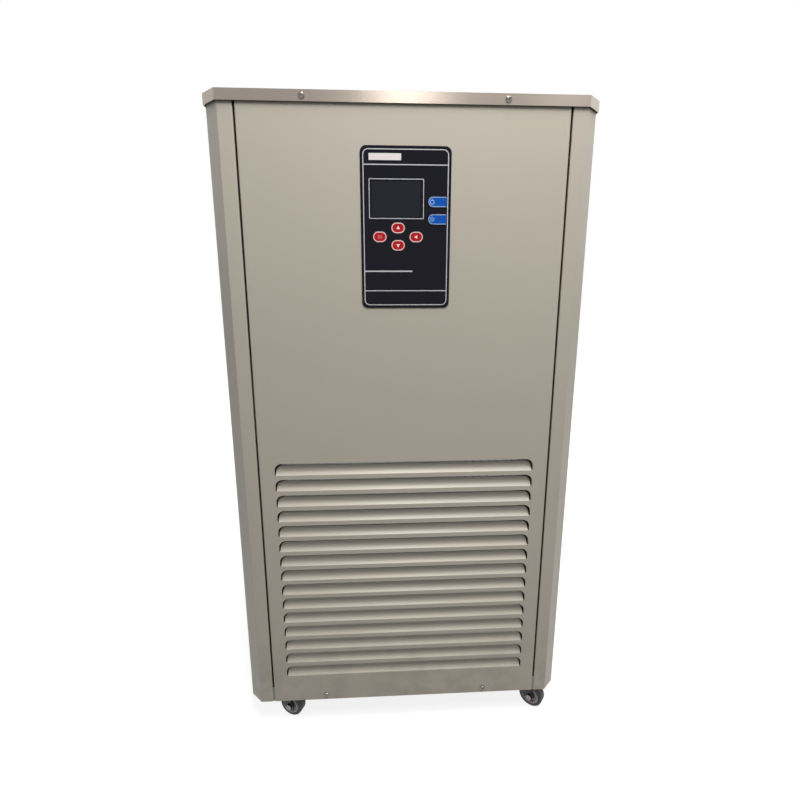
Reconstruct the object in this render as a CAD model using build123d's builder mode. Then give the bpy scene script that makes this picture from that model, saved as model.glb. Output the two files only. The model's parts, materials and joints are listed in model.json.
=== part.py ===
from build123d import *
from math import cos, radians, sin, tan
import os

os.makedirs("parts", exist_ok=True)

# Recirculating chiller: a floor-standing sheet-steel cabinet on four swivel casters.
# The front faces -Y, +Z is up, and the origin is on the floor under the middle of the object.

# Casing
body_width = 500.0
body_depth = 560.0
body_height = 873.5
corner_chamfer = 18.0
casing_sheet = 1.2
fold_radius = 1.6
shell_flange = 19.0
shell_lip = 14.0
panel_gap = 2.4
panel_return = 12.0
pan_sheet = 2.0
pan_wall = 25.0
pan_corner = 3.0
return_clearance = 3.0
cover_sheet = 1.0
cover_apron = 13.3
cover_overhang = 2.9

# Casing screws
screw_radius = 2.0
screw_length = 9.0
screw_hole = 2.2
screw_head_radius = 4.1
screw_head_height = 2.6
cover_screw_x = 128.3
cover_screw_drop = 7.0
base_screw_x = 127.4
base_screw_z = 8.6

# Louvres lanced into the front panel
louvre_count = 15
louvre_pitch = 24.26
louvre_width = 378.0
louvre_height = 17.9
louvre_corner = 10.5
louvre_lowest = 47.2
louvre_depth = 5.5
louvre_rise = 13.7
louvre_slope = 45.0
louvre_curve = 12.0
lance_gap = 1.6

# Control panel, its window and its keys, measured from the pan's underside
overlay_width = 117.0
overlay_height = 201.3
overlay_corner = 8.0
overlay_z = 725.3
overlay_film = 0.8
window_x = -12.6
window_z = 762.5
window_width = 63.5
window_height = 43.8
display_rim = 6.0
display_depth = 6.0
display_recess = 0.2
key_clearance = 0.3
key_proud = 0.8
key_flange = 1.4
key_flange_sheet = 1.2
key_stem = 2.4
key_travel = 0.5
red_key_width = 18.0
red_key_height = 13.7
blue_key_width = 24.4
blue_key_height = 13.0
board_width = 108.0
board_height = 188.0
board_sheet = 1.6
board_depth = 12.0
board_spacer_radius = 3.0
switch_size = 6.0
switch_gap = 0.7
red_keys = {"key_up": (-10.1, 727.2), "key_down": (-10.1, 705.5),
            "key_set": (-34.0, 716.0), "key_shift": (13.6, 716.0)}
blue_keys = {"key_circulate": (41.2, 759.4), "key_cool": (41.2, 738.0)}

# Reservoir under the top cover
tank_radius = 145.0
tank_depth = 300.0
tank_wall = 1.2
tank_corner = 6.0
tank_rim = 14.0
tank_setback = 245.0
insulation_wall = 35.0
insulation_gap = 0.5
lid_hole_radius = 125.0
lid_radius = 140.0
lid_rise = 8.0
lid_sheet = 1.2
lid_flange = 16.0
lid_fold = 3.0
knob_radius = 17.0
knob_height = 30.0
knob_foot_radius = 10.5
knob_neck_radius = 7.6
knob_neck_height = 12.0
knob_widest_height = 21.0
knob_crown_radius = 10.2
knob_crown_height = 28.8
spigot_radius = 9.5
spigot_bore = 8.0
drain_spigot_radius = 8.0
drain_stub_length = 52.0
return_x = 70.0
return_depth = 10.0
coil_radius = 112.0
coil_tube = 5.0
coil_elbow = 6.0
coil_pitch = 34.0
coil_turns = 5
coil_floor = 30.0
lead_clearance = 0.3
lead_reach = 190.0
probe_radius = 3.0
probe_length = 210.0
shelf_sheet = 2.0
shelf_flange = 22.0
shelf_front = 40.0

# Refrigeration behind the louvres
condenser_margin = 64.0
condenser_height = 405.0
condenser_depth = 44.0
condenser_setback = 40.0
condenser_rows = 8
fin_pitch = 12.0
fin_groove = 3.0
fin_groove_depth = 4.0
tube_sheet = 1.5
tube_column = 22.0
shroud_depth = 40.0
shroud_sheet = 1.2
fan_radius = 140.0
fan_tip_gap = 5.0
fan_blades = 5
fan_depth = 34.0
fan_hub_radius = 32.0
fan_hub_length = 24.0
blade_root_radius = 28.0
blade_root_chord = 35.0
blade_root_twist = 40.0
blade_tip_chord = 87.0
blade_tip_twist = 20.0
blade_sheet = 1.6
fan_shaft_radius = 5.0
running_clearance = 0.05
motor_radius = 42.0
motor_length = 62.0
motor_edge = 5.0
shaft_clearance = 1.0
arm_width = 16.0
compressor_radius = 84.0
compressor_height = 215.0
compressor_x = 105.0
compressor_setback = 385.0
compressor_round = 18.0
compressor_dome = 44.0
seam_height = 120.0
seam_lip = 4.0
seam_sheet = 5.0
shell_step = 3.0
terminal_width = 60.0
terminal_height = 50.0
terminal_z = 86.0
terminal_reach = 22.0
terminal_depth = 30.0
plate_corner = 18.0
foot_span = 190.0
foot_radius = 13.0
foot_height = 22.0
foot_edge = 3.0
drier_radius = 14.0
drier_length = 110.0
drier_z = 148.0
pipe_radius = 4.75
pipe_bend = 12.0
pipe_margin = 50.0
pipe_rear = 450.0

# Circulation
pump_x = -115.0
pump_setback = 400.0
pump_axis_z = 95.0
volute_radius = 52.0
volute_width = 36.0
pump_port_length = 20.0
volute_round = 12.0
pump_motor_radius = 46.0
pump_motor_length = 105.0
pump_foot_width = 64.0
pump_foot_length = 70.0
motor_rib_count = 16
motor_rib_depth = 3.0
motor_rib_start = 12.6
motor_rib_length = 73.5
motor_saddle = 37.0
hose_clearance = 0.1
hose_wall = 2.8
hose_overlap = 15.0
hose_bend = 30.0
branch_bend = 20.0
delivery_setback = 465.0
return_run = 24.0
hose_margin = 1.0

# Rear fittings, measured from the pan's underside
nozzle_inset = 85.0
outlet_z = 660.0
inlet_z = 740.0
nozzle_seat_radius = 6.5
nozzle_seat_length = 14.0
barb_count = 3
barb_length = 6.0
barb_root = 5.2
barb_neck = 1.0
nozzle_bore = 4.0
nozzle_hex = 13.0
nozzle_hex_length = 10.0
nozzle_nut = 6.0
nozzle_inside = 30.0
panel_hole_clearance = 0.3
drain_inset = 85.0
drain_z = 155.0
valve_radius = 14.0
valve_housing = 24.0
valve_spout_radius = 8.0
valve_spout_length = 14.0
valve_bore = 5.0
valve_taper = 5.0
stem_radius = 3.5
stem_boss_radius = 6.5
stem_boss_height = 19.0
stem_depth = 6.0
stem_gap = 1.0
lever_gap = 0.3
lever_nut = 5.2
lever_round = 4.8
lever_length = 62.0
lever_width = 12.0
lever_sheet = 2.5
gland_inset = 85.0
gland_z = 95.0
gland_radius = 13.0
gland_length = 26.0
gland_round = 5.5
gland_hex = 15.0
gland_hex_length = 6.5
switch_inset = 85.0
switch_z = 165.0
switch_width = 22.0
switch_height = 30.0
switch_depth = 26.0
switch_bezel = 3.0
switch_fit = 0.3
bezel_corner = 2.0
rocker_radius = 12.0
rocker_width = 15.0
rocker_gap = 0.4
rocker_face = 6.0
rocker_tilt = 10.0
rocker_pin = 2.0
rocker_pin_gap = 0.3
rocker_setback = 1.0
vent_columns = 3
vent_rows = 14
vent_length = 80.0
vent_width = 6.0
vent_pitch = 24.0
vent_lowest = 90.0
vent_column_pitch = 96.0

# Swivel casters
caster_height = 52.0
caster_inset_x = 44.0
caster_inset_y = 40.0
caster_plate = 42.0
caster_plate_corner = 4.0
caster_plate_sheet = 2.5
caster_bolt_span = 30.0
caster_bolt_hole = 2.7
kingpin_radius = 5.0
kingpin_head = 8.0
kingpin_head_height = 2.0
race_radius = 17.5
race_height = 5.4
race_gap = 0.2
race_bevel = 2.2
wheel_radius = 20.0
wheel_width = 17.0
wheel_trail = 20.0
tyre_depth = 5.8
tyre_round = 3.2
hub_recess = 2.4
hub_ring = 3.2
axle_radius = 3.0
axle_head = 5.2
axle_head_height = 3.0
leg_sheet = 2.2
leg_gap = 0.9
leg_round = 8.0
leg_root_length = 24.5
leg_root_height = 3.2
leg_root_shift = 1.8
caster_angles = {"front_left": -25.0, "front_right": -40.0,
                 "rear_left": -20.0, "rear_right": -35.0}

# Heights and depths that follow from the sizes above
nozzle_reach = nozzle_hex_length + nozzle_seat_length + barb_count * barb_length
valve_reach = nozzle_hex_length + valve_housing + valve_spout_length
rear_reach = max(nozzle_reach, valve_reach)
front_reach = cover_overhang + screw_head_height
base_z = caster_height
cover_top = base_z + body_height + cover_apron
shell_top = cover_top - cover_sheet
front_y = -(body_depth + rear_reach - front_reach) / 2
rear_y = front_y + body_depth
half_width = body_width / 2
nozzle_x = half_width - nozzle_inset
drain_x = half_width - drain_inset
gland_x = -(half_width - gland_inset)
switch_x = -(half_width - switch_inset)
condenser_width = body_width - 2 * condenser_margin
pipe_side_x = half_width - pipe_margin
shell_edge_x = half_width - corner_chamfer - shell_flange
panel_half = shell_edge_x - panel_gap
shell_height = shell_top - base_z
cover_screw_z = cover_top - cover_screw_drop
tank_y = front_y + tank_setback
tank_floor = shell_top - tank_wall - tank_depth
shelf_top = tank_floor - tank_wall - insulation_wall
front_plane = Plane.XZ.offset(-front_y)
rear_plane = Plane(origin=(0, rear_y, 0), x_dir=(1, 0, 0), z_dir=(0, -1, 0))


def save(piece, name):
    """Label a finished piece and write it to its own STEP file."""
    piece.part.label = name
    export_step(piece.part, f"parts/{name}.step")


def casing_outline(plane, margin, rounding=0.0):
    """Plan of the casing with its chamfered corners, grown by a margin."""
    with BuildSketch(plane) as outline:
        with Locations((0, front_y + body_depth / 2)):
            Rectangle(body_width, body_depth)
        chamfer(outline.vertices(), corner_chamfer)
        offset(amount=margin, kind=Kind.INTERSECTION)
        if rounding > 0:
            fillet(outline.vertices(), rounding)
    return outline.sketch


def folded_section(plane, points, sheet, side, radius=fold_radius):
    """Section of a sheet whose outer line runs through the points with rounded folds."""
    with BuildSketch(plane) as section:
        with BuildLine():
            FilletPolyline(*points, radius=radius)
            offset(amount=sheet, side=side)
        make_face()
    return section.sketch


def tube_along(points, radius, bend, bore=0.0):
    """Round tube or rod whose centre line runs through the points with equal bends."""
    with BuildPart() as tube:
        with BuildLine() as route:
            FilletPolyline(*points, radius=bend)
        with BuildSketch(Plane(origin=route.line @ 0, z_dir=route.line % 0)):
            Circle(radius)
            if bore > 0:
                Circle(bore, mode=Mode.SUBTRACT)
        sweep()
    return tube


# Base pan: a folded tray that carries the casters below and the machinery above.
caster_points = {"front_left": (-half_width + caster_inset_x, front_y + caster_inset_y),
                 "front_right": (half_width - caster_inset_x, front_y + caster_inset_y),
                 "rear_left": (-half_width + caster_inset_x, rear_y - caster_inset_y),
                 "rear_right": (half_width - caster_inset_x, rear_y - caster_inset_y)}
with BuildPart() as base_pan:
    extrude(casing_outline(Plane.XY.offset(base_z), -casing_sheet, pan_corner), amount=pan_wall)
    offset(amount=-pan_sheet, openings=base_pan.faces().sort_by(Axis.Z)[-1])
    with BuildSketch(Plane.XY.offset(base_z)):
        for mount in caster_points.values():
            with Locations(mount):
                with GridLocations(caster_bolt_span, caster_bolt_span, 2, 2):
                    Circle(caster_bolt_hole)
        with Locations((0, front_y + body_depth / 2)):
            with GridLocations(vent_column_pitch, vent_pitch, 2, 5):
                SlotOverall(vent_length, vent_width)
    extrude(amount=pan_sheet, mode=Mode.SUBTRACT)
    with BuildSketch(front_plane):
        with Locations((-base_screw_x, base_z + base_screw_z), (base_screw_x, base_z + base_screw_z)):
            Circle(screw_hole)
    extrude(amount=-body_depth, mode=Mode.SUBTRACT)
save(base_pan, "base_pan")

# Side shells: one folded sheet each, with a chamfered fold at both corners and return lips.
for side_name, side in (("left", -1), ("right", 1)):
    with BuildPart() as side_shell:
        shell_points = [(side * shell_edge_x, front_y + shell_lip),
                        (side * shell_edge_x, front_y),
                        (side * (half_width - corner_chamfer), front_y),
                        (side * half_width, front_y + corner_chamfer),
                        (side * half_width, rear_y - corner_chamfer),
                        (side * (half_width - corner_chamfer), rear_y),
                        (side * shell_edge_x, rear_y),
                        (side * shell_edge_x, rear_y - shell_lip)]
        sheet_side = Side.LEFT if side > 0 else Side.RIGHT
        extrude(folded_section(Plane.XY.offset(base_z), shell_points, casing_sheet, sheet_side),
                amount=shell_height)
        lip_x = side * (shell_edge_x + casing_sheet / 2)
        with BuildSketch(Plane.XY.offset(base_z)):
            with Locations((lip_x, front_y + casing_sheet + shell_lip / 2),
                           (lip_x, rear_y - casing_sheet - shell_lip / 2)):
                Rectangle(4 * casing_sheet, shell_lip)
        extrude(amount=pan_wall + return_clearance, mode=Mode.SUBTRACT)
    save(side_shell, f"{side_name}_side_shell")

# Front panel: a folded sheet with lanced louvres, each a tongue cut free along its top and ends
# and pressed inwards about the fold at its lower edge.
louvre_floor = base_z + louvre_lowest
louvre_places = [(0, louvre_floor + row * louvre_pitch) for row in range(louvre_count)]
tongue_width = louvre_width - 2 * lance_gap
slope_rise = louvre_depth * tan(radians(louvre_slope))

with BuildPart() as louvre_tongue:
    tongue_line = [(front_y, 0), (front_y + louvre_depth, slope_rise),
                   (front_y + louvre_depth, louvre_rise)]
    extrude(folded_section(Plane.YZ.offset(-tongue_width / 2), tongue_line, casing_sheet,
                           Side.RIGHT, louvre_curve), amount=tongue_width)
    with BuildSketch(front_plane) as tongue_outline:
        with Locations((0, (louvre_rise - casing_sheet) / 2)):
            Rectangle(tongue_width, louvre_rise + casing_sheet)
        fillet(tongue_outline.vertices().group_by(Axis.Y)[-1], louvre_corner - lance_gap)
    extrude(amount=-(louvre_depth + 2 * casing_sheet), mode=Mode.INTERSECT)

with BuildSketch() as louvre_opening:
    with Locations((0, louvre_height / 2)):
        Rectangle(louvre_width, louvre_height)
    fillet(louvre_opening.vertices().group_by(Axis.Y)[-1], louvre_corner)

with BuildSketch() as red_key_outline:
    SlotOverall(red_key_width, red_key_height)

with BuildSketch() as blue_key_outline:
    Rectangle(blue_key_width, blue_key_height)
    fillet(blue_key_outline.vertices().group_by(Axis.X)[0], blue_key_height / 2 - key_clearance)

key_outlines = {name: (red_key_outline.sketch, x, base_z + z) for name, (x, z) in red_keys.items()}
key_outlines.update({name: (blue_key_outline.sketch, x, base_z + z)
                     for name, (x, z) in blue_keys.items()})

with BuildPart() as front_panel:
    panel_points = [(-panel_half, front_y + panel_return), (-panel_half, front_y),
                    (panel_half, front_y), (panel_half, front_y + panel_return)]
    extrude(folded_section(Plane.XY.offset(base_z), panel_points, casing_sheet, Side.LEFT),
            amount=shell_height)
    with BuildSketch(Plane.XY.offset(base_z)):
        with Locations((0, front_y + casing_sheet + panel_return / 2)):
            Rectangle(2 * panel_half, panel_return)
    extrude(amount=pan_wall + return_clearance, mode=Mode.SUBTRACT)
    with BuildSketch(front_plane):
        with Locations(*louvre_places):
            add(louvre_opening.sketch)
        with Locations((window_x, base_z + window_z)):
            Rectangle(window_width, window_height)
        for outline, x, z in key_outlines.values():
            with Locations((x, z)):
                add(outline)
        with Locations((-base_screw_x, base_z + base_screw_z), (base_screw_x, base_z + base_screw_z),
                       (-cover_screw_x, cover_screw_z), (cover_screw_x, cover_screw_z)):
            Circle(screw_hole)
    extrude(amount=-casing_sheet, mode=Mode.SUBTRACT)
    with Locations(*[(0, 0, z) for _, z in louvre_places]):
        add(louvre_tongue.part)
save(front_panel, "front_panel")

# Rear panel: a folded sheet with exhaust slots and the openings for the rear fittings.
with BuildPart() as rear_panel:
    panel_points = [(-panel_half, rear_y - panel_return), (-panel_half, rear_y),
                    (panel_half, rear_y), (panel_half, rear_y - panel_return)]
    extrude(folded_section(Plane.XY.offset(base_z), panel_points, casing_sheet, Side.RIGHT),
            amount=shell_height)
    with BuildSketch(Plane.XY.offset(base_z)):
        with Locations((0, rear_y - casing_sheet - panel_return / 2)):
            Rectangle(2 * panel_half, panel_return)
    extrude(amount=pan_wall + return_clearance, mode=Mode.SUBTRACT)
    with BuildSketch(rear_plane):
        vent_middle = base_z + vent_lowest + (vent_rows - 1) * vent_pitch / 2
        with Locations((0, vent_middle)):
            with GridLocations(vent_column_pitch, vent_pitch, vent_columns, vent_rows):
                SlotOverall(vent_length, vent_width)
        with Locations((nozzle_x, base_z + outlet_z), (nozzle_x, base_z + inlet_z)):
            Circle(spigot_radius + panel_hole_clearance)
        with Locations((drain_x, base_z + drain_z)):
            Circle(drain_spigot_radius + panel_hole_clearance)
        with Locations((gland_x, base_z + gland_z)):
            Circle(spigot_radius + panel_hole_clearance)
        with Locations((switch_x, base_z + switch_z)):
            Rectangle(switch_width, switch_height)
        with Locations((-base_screw_x, base_z + base_screw_z), (base_screw_x, base_z + base_screw_z),
                       (-cover_screw_x, cover_screw_z), (cover_screw_x, cover_screw_z)):
            Circle(screw_hole)
    extrude(amount=casing_sheet, mode=Mode.SUBTRACT)
save(rear_panel, "rear_panel")

# Top cover: a stainless tray turned upside down, with the round opening of the reservoir.
with BuildPart() as top_cover:
    apron_floor = cover_top - cover_apron
    extrude(casing_outline(Plane.XY.offset(apron_floor), cover_overhang), amount=cover_apron)
    offset(amount=-cover_sheet, openings=top_cover.faces().sort_by(Axis.Z)[0], kind=Kind.INTERSECTION)
    with BuildSketch(Plane.XY.offset(cover_top)):
        with Locations((0, tank_y)):
            Circle(lid_hole_radius)
    extrude(amount=-2 * cover_sheet, mode=Mode.SUBTRACT)
    with BuildSketch(Plane.XZ):
        with Locations((-cover_screw_x, cover_screw_z), (cover_screw_x, cover_screw_z)):
            Circle(screw_hole)
    extrude(amount=body_depth, both=True, mode=Mode.SUBTRACT)
save(top_cover, "top_cover")

# Casing screws: identical pan-head screws, in the apron and along the bottom, front and rear.
with BuildPart() as screw_shape:
    with BuildSketch(Plane.XZ) as screw_section:
        with BuildLine():
            Polyline((0, screw_head_height), (screw_head_radius / 2, screw_head_height))
            RadiusArc((screw_head_radius / 2, screw_head_height), (screw_head_radius, 0),
                      screw_head_radius * 0.8)
            Polyline((screw_head_radius, 0), (screw_radius, 0), (screw_radius, -screw_length),
                     (0, -screw_length), (0, screw_head_height))
        make_face()
    revolve(axis=Axis.Z)

with BuildPart() as casing_screws:
    for face_y, outward in ((front_y, -1), (rear_y, 1)):
        seats = [(-base_screw_x, face_y, base_z + base_screw_z),
                 (base_screw_x, face_y, base_z + base_screw_z),
                 (-cover_screw_x, face_y + outward * cover_overhang, cover_screw_z),
                 (cover_screw_x, face_y + outward * cover_overhang, cover_screw_z)]
        with Locations(*[Plane(origin=seat, z_dir=(0, outward, 0)) for seat in seats]):
            add(screw_shape.part)
save(casing_screws, "casing_screws")

# Reservoir: a spun stainless tank that hangs by its rim under the cover, in a foam jacket.
tank_plane = Plane(origin=(0, tank_y, 0), x_dir=(1, 0, 0), z_dir=(0, -1, 0))
tank_axis = Axis((0, tank_y, 0), (0, 0, 1))
coil_foot = tank_floor + coil_floor
coil_head = coil_foot + coil_turns * coil_pitch
return_z = base_z + inlet_z
jacket_inner = tank_radius + tank_wall + insulation_gap
jacket_outer = jacket_inner + insulation_wall
return_start = (tank_radius ** 2 - (return_x + spigot_radius) ** 2) ** 0.5 - return_depth
return_end = tank_y + jacket_outer + pan_sheet + pump_port_length
with BuildPart() as reservoir_tank:
    with BuildSketch(tank_plane) as tank_section:
        with BuildLine():
            FilletPolyline((tank_radius + tank_rim, shell_top), (tank_radius, shell_top),
                           (tank_radius, tank_floor), (spigot_bore, tank_floor), radius=[2.5, tank_corner])
            offset(amount=tank_wall, side=Side.LEFT)
        make_face()
    revolve(axis=tank_axis)
    with BuildSketch(Plane.XY.offset(tank_floor - drain_stub_length)):
        with Locations((0, tank_y)):
            Circle(spigot_radius)
            Circle(spigot_bore, mode=Mode.SUBTRACT)
    extrude(amount=drain_stub_length)
    with BuildSketch(tank_plane.offset(-return_start)):
        with Locations((return_x, return_z)):
            Circle(spigot_radius)
    extrude(amount=-(return_end - tank_y - return_start))
    with BuildSketch(tank_plane.offset(-return_start)):
        with Locations((return_x, return_z)):
            Circle(spigot_bore)
    extrude(amount=-(return_end - tank_y - return_start), mode=Mode.SUBTRACT)
    with BuildSketch(tank_plane):
        with Locations((0, coil_foot), (0, coil_head)):
            Circle(coil_tube + lead_clearance)
    extrude(amount=-(tank_radius + 2 * tank_wall), mode=Mode.SUBTRACT)
save(reservoir_tank, "reservoir_tank")

with BuildPart() as tank_insulation:
    with BuildSketch(Plane.XY.offset(shelf_top)):
        with Locations((0, tank_y)):
            Circle(jacket_outer)
    extrude(amount=shell_top - tank_wall - insulation_gap - shelf_top)
    with BuildSketch(Plane.XY.offset(tank_floor - tank_wall)):
        with Locations((0, tank_y)):
            Circle(jacket_inner)
    extrude(amount=tank_depth + tank_wall, mode=Mode.SUBTRACT)
    with BuildSketch(Plane.XY.offset(shelf_top)):
        with Locations((0, tank_y)):
            Circle(spigot_radius + insulation_gap)
    extrude(amount=insulation_wall, mode=Mode.SUBTRACT)
    with BuildSketch(tank_plane):
        with Locations((0, coil_foot), (0, coil_head)):
            Circle(coil_tube + lead_clearance)
        with Locations((return_x, return_z)):
            Circle(spigot_radius + insulation_gap)
    extrude(amount=-(jacket_outer + insulation_gap), mode=Mode.SUBTRACT)
save(tank_insulation, "tank_insulation")

# Lid: a spun dish that rests on the cover round the opening, with a turned knob.
lid_top = cover_top + lid_rise + lid_sheet
with BuildPart() as reservoir_lid:
    lid_line = [(0, lid_top), (lid_radius - lid_flange - lid_rise, lid_top),
                (lid_radius - lid_flange, cover_top + lid_sheet), (lid_radius, cover_top + lid_sheet)]
    revolve(folded_section(tank_plane, lid_line, lid_sheet, Side.RIGHT, lid_fold), axis=tank_axis)
save(reservoir_lid, "reservoir_lid")

with BuildPart() as lid_knob:
    with BuildSketch(tank_plane):
        with BuildLine():
            Polyline((0, lid_top), (knob_foot_radius, lid_top),
                     (knob_neck_radius, lid_top + knob_neck_height))
            ThreePointArc((knob_neck_radius, lid_top + knob_neck_height),
                          (knob_radius, lid_top + knob_widest_height),
                          (knob_crown_radius, lid_top + knob_crown_height))
            Spline((knob_crown_radius, lid_top + knob_crown_height), (0, lid_top + knob_height),
                   tangents=[(-1, 0.2), (-1, 0)])
            Line((0, lid_top + knob_height), (0, lid_top))
        make_face()
    revolve(axis=tank_axis)
save(lid_knob, "lid_knob")

# Evaporator: a coil of tube along the tank's wall, with both ends led out to the rear.
coil_plane = Plane(origin=(0, tank_y, coil_foot), x_dir=(0, 1, 0), z_dir=(0, 0, 1))
with BuildPart() as evaporator_coil:
    with BuildLine(coil_plane) as coil_line:
        Helix(pitch=coil_pitch, height=coil_turns * coil_pitch, radius=coil_radius)
    with BuildSketch(Plane(origin=coil_line.line @ 0, z_dir=coil_line.line % 0)):
        Circle(coil_tube)
    sweep()
    with Locations((0, tank_y + coil_radius, coil_foot), (0, tank_y + coil_radius, coil_head)):
        Cylinder(coil_elbow, 2 * coil_elbow)
    with BuildSketch(tank_plane.offset(-coil_radius)):
        with Locations((0, coil_foot), (0, coil_head)):
            Circle(coil_tube)
    extrude(amount=-(lead_reach - coil_radius))
save(evaporator_coil, "evaporator_coil")

# Temperature probe: a closed tube that hangs from the cover between the coil and the tank's wall.
probe_x = -(lid_hole_radius + tank_radius) / 2
with BuildPart() as temperature_probe:
    with BuildSketch(Plane.XY.offset(shell_top)):
        with Locations((probe_x, tank_y)):
            Circle(probe_radius)
    extrude(amount=-probe_length)
    fillet(temperature_probe.edges().sort_by(Axis.Z)[0], probe_radius * 0.8)
    with BuildSketch(Plane.XY.offset(shell_top)):
        with Locations((probe_x, tank_y)):
            RegularPolygon(2 * probe_radius, 6)
    extrude(amount=-2 * probe_radius)
save(temperature_probe, "temperature_probe")

# Shelf: a folded plate between the side shells that carries the jacketed tank.
shelf_half = half_width - casing_sheet
shelf_length = tank_y + jacket_outer + pan_sheet - (front_y + shelf_front)
with BuildPart() as tank_shelf:
    shelf_points = [(-shelf_half, shelf_top - shelf_flange), (-shelf_half, shelf_top),
                    (shelf_half, shelf_top), (shelf_half, shelf_top - shelf_flange)]
    extrude(folded_section(Plane.XZ.offset(-(front_y + shelf_front)), shelf_points, shelf_sheet,
                           Side.RIGHT, fold_radius + shelf_sheet), amount=-shelf_length)
    with BuildSketch(Plane.XY.offset(shelf_top)):
        with Locations((0, tank_y)):
            Circle(spigot_radius + hose_clearance + 2 * hose_wall)
    extrude(amount=-shelf_sheet, mode=Mode.SUBTRACT)
save(tank_shelf, "tank_shelf")

# Control panel: a printed film on the front sheet, with the display behind its window.
with BuildPart() as panel_overlay:
    with BuildSketch(front_plane):
        with Locations((0, base_z + overlay_z)):
            RectangleRounded(overlay_width, overlay_height, overlay_corner)
        with Locations((window_x, base_z + window_z)):
            Rectangle(window_width, window_height, mode=Mode.SUBTRACT)
        for outline, x, z in key_outlines.values():
            with Locations((x, z)):
                add(outline, mode=Mode.SUBTRACT)
    extrude(amount=overlay_film)
save(panel_overlay, "panel_overlay")

with BuildPart() as display_module:
    with BuildSketch(front_plane.offset(-casing_sheet)):
        with Locations((window_x, base_z + window_z)):
            Rectangle(window_width + 2 * display_rim, window_height + display_rim)
    extrude(amount=-display_depth)
    with BuildSketch(front_plane.offset(-casing_sheet)):
        with Locations((window_x, base_z + window_z)):
            Rectangle(window_width - 2 * key_clearance, window_height - 2 * key_clearance)
    extrude(amount=casing_sheet + overlay_film - display_recess)
save(display_module, "display_module")

# Keys: caps that stand proud of the film, held by a flange behind the sheet, each with a stem
# that reaches its switch on the board.
key_back = casing_sheet + key_travel + key_flange_sheet
stem_end = board_depth - switch_size - switch_gap
for key_name, (outline, x, z) in key_outlines.items():
    key_width, key_height = outline.bounding_box().size.X, outline.bounding_box().size.Y
    with BuildPart() as key:
        with BuildSketch(front_plane.offset(overlay_film + key_proud)):
            with Locations((x, z)):
                add(outline)
            offset(amount=-key_clearance)
        extrude(amount=-(overlay_film + key_proud + key_back))
        fillet(key.faces().sort_by(Axis.Y)[0].edges(), key_proud * 0.6)
        with BuildSketch(front_plane.offset(-(key_back - key_flange_sheet))):
            with Locations((x, z)):
                Rectangle(key_width + key_flange, key_height + key_flange)
        extrude(amount=-key_flange_sheet)
        with BuildSketch(front_plane.offset(-key_back)):
            with Locations((x, z)):
                Circle(key_stem)
        extrude(amount=-(stem_end - key_back))
    save(key, key_name)

# Control board: a circuit board on four spacers, with a switch behind each key.
board_face = front_plane.offset(-board_depth)
with BuildPart() as control_board:
    with BuildSketch(board_face):
        with Locations((0, base_z + overlay_z)):
            Rectangle(board_width, board_height)
    extrude(amount=-board_sheet)
    with BuildSketch(board_face):
        for _, x, z in key_outlines.values():
            with Locations((x, z)):
                Rectangle(switch_size, switch_size)
    extrude(amount=switch_size)
    with BuildSketch(board_face):
        with Locations((0, base_z + overlay_z)):
            with GridLocations(board_width - 3 * board_spacer_radius,
                               board_height - 3 * board_spacer_radius, 2, 2):
                Circle(board_spacer_radius)
    extrude(amount=board_depth - casing_sheet)
save(control_board, "control_board")

# Condenser: a finned block between two tube sheets, with return bends at both ends.
pan_floor = base_z + pan_sheet
condenser_front = front_y + condenser_setback
condenser_middle = condenser_front + condenser_depth / 2
condenser_half = condenser_width / 2
row_pitch = condenser_height / condenser_rows
rows = [pan_floor + row_pitch * (row + 0.5) for row in range(condenser_rows)]
block_width = condenser_width - 2 * tube_sheet
fin_count = int(block_width / fin_pitch)
condenser_plane = Plane.XZ.offset(-condenser_front)
with BuildPart() as condenser_coil:
    with BuildSketch(condenser_plane):
        with Locations((0, pan_floor + condenser_height / 2)):
            Rectangle(condenser_width, condenser_height)
    extrude(amount=-condenser_depth)
    with BuildSketch(Plane.XY.offset(pan_floor)):
        with Locations((0, condenser_front + fin_groove_depth / 2),
                       (0, condenser_front + condenser_depth - fin_groove_depth / 2)):
            with GridLocations(fin_pitch, fin_pitch, fin_count - 1, 1):
                Rectangle(fin_groove, fin_groove_depth)
    extrude(amount=condenser_height, mode=Mode.SUBTRACT)
    for z in rows[:-1]:
        with BuildSketch(Plane(origin=(condenser_half, condenser_middle, z), x_dir=(0, 1, 0),
                               z_dir=(1, 0, 0))):
            with Locations((-tube_column / 2, 0)):
                Circle(pipe_radius)
        revolve(axis=Axis((condenser_half, condenser_middle, z), (0, 0, 1)), revolution_arc=180)
    for z in rows[1:]:
        with BuildSketch(Plane(origin=(-condenser_half, condenser_middle, z), x_dir=(0, 1, 0),
                               z_dir=(1, 0, 0))):
            with Locations((tube_column / 2, 0)):
                Circle(pipe_radius)
        revolve(axis=Axis((-condenser_half, condenser_middle, z), (0, 0, 1)), revolution_arc=180)
save(condenser_coil, "condenser_coil")

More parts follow.
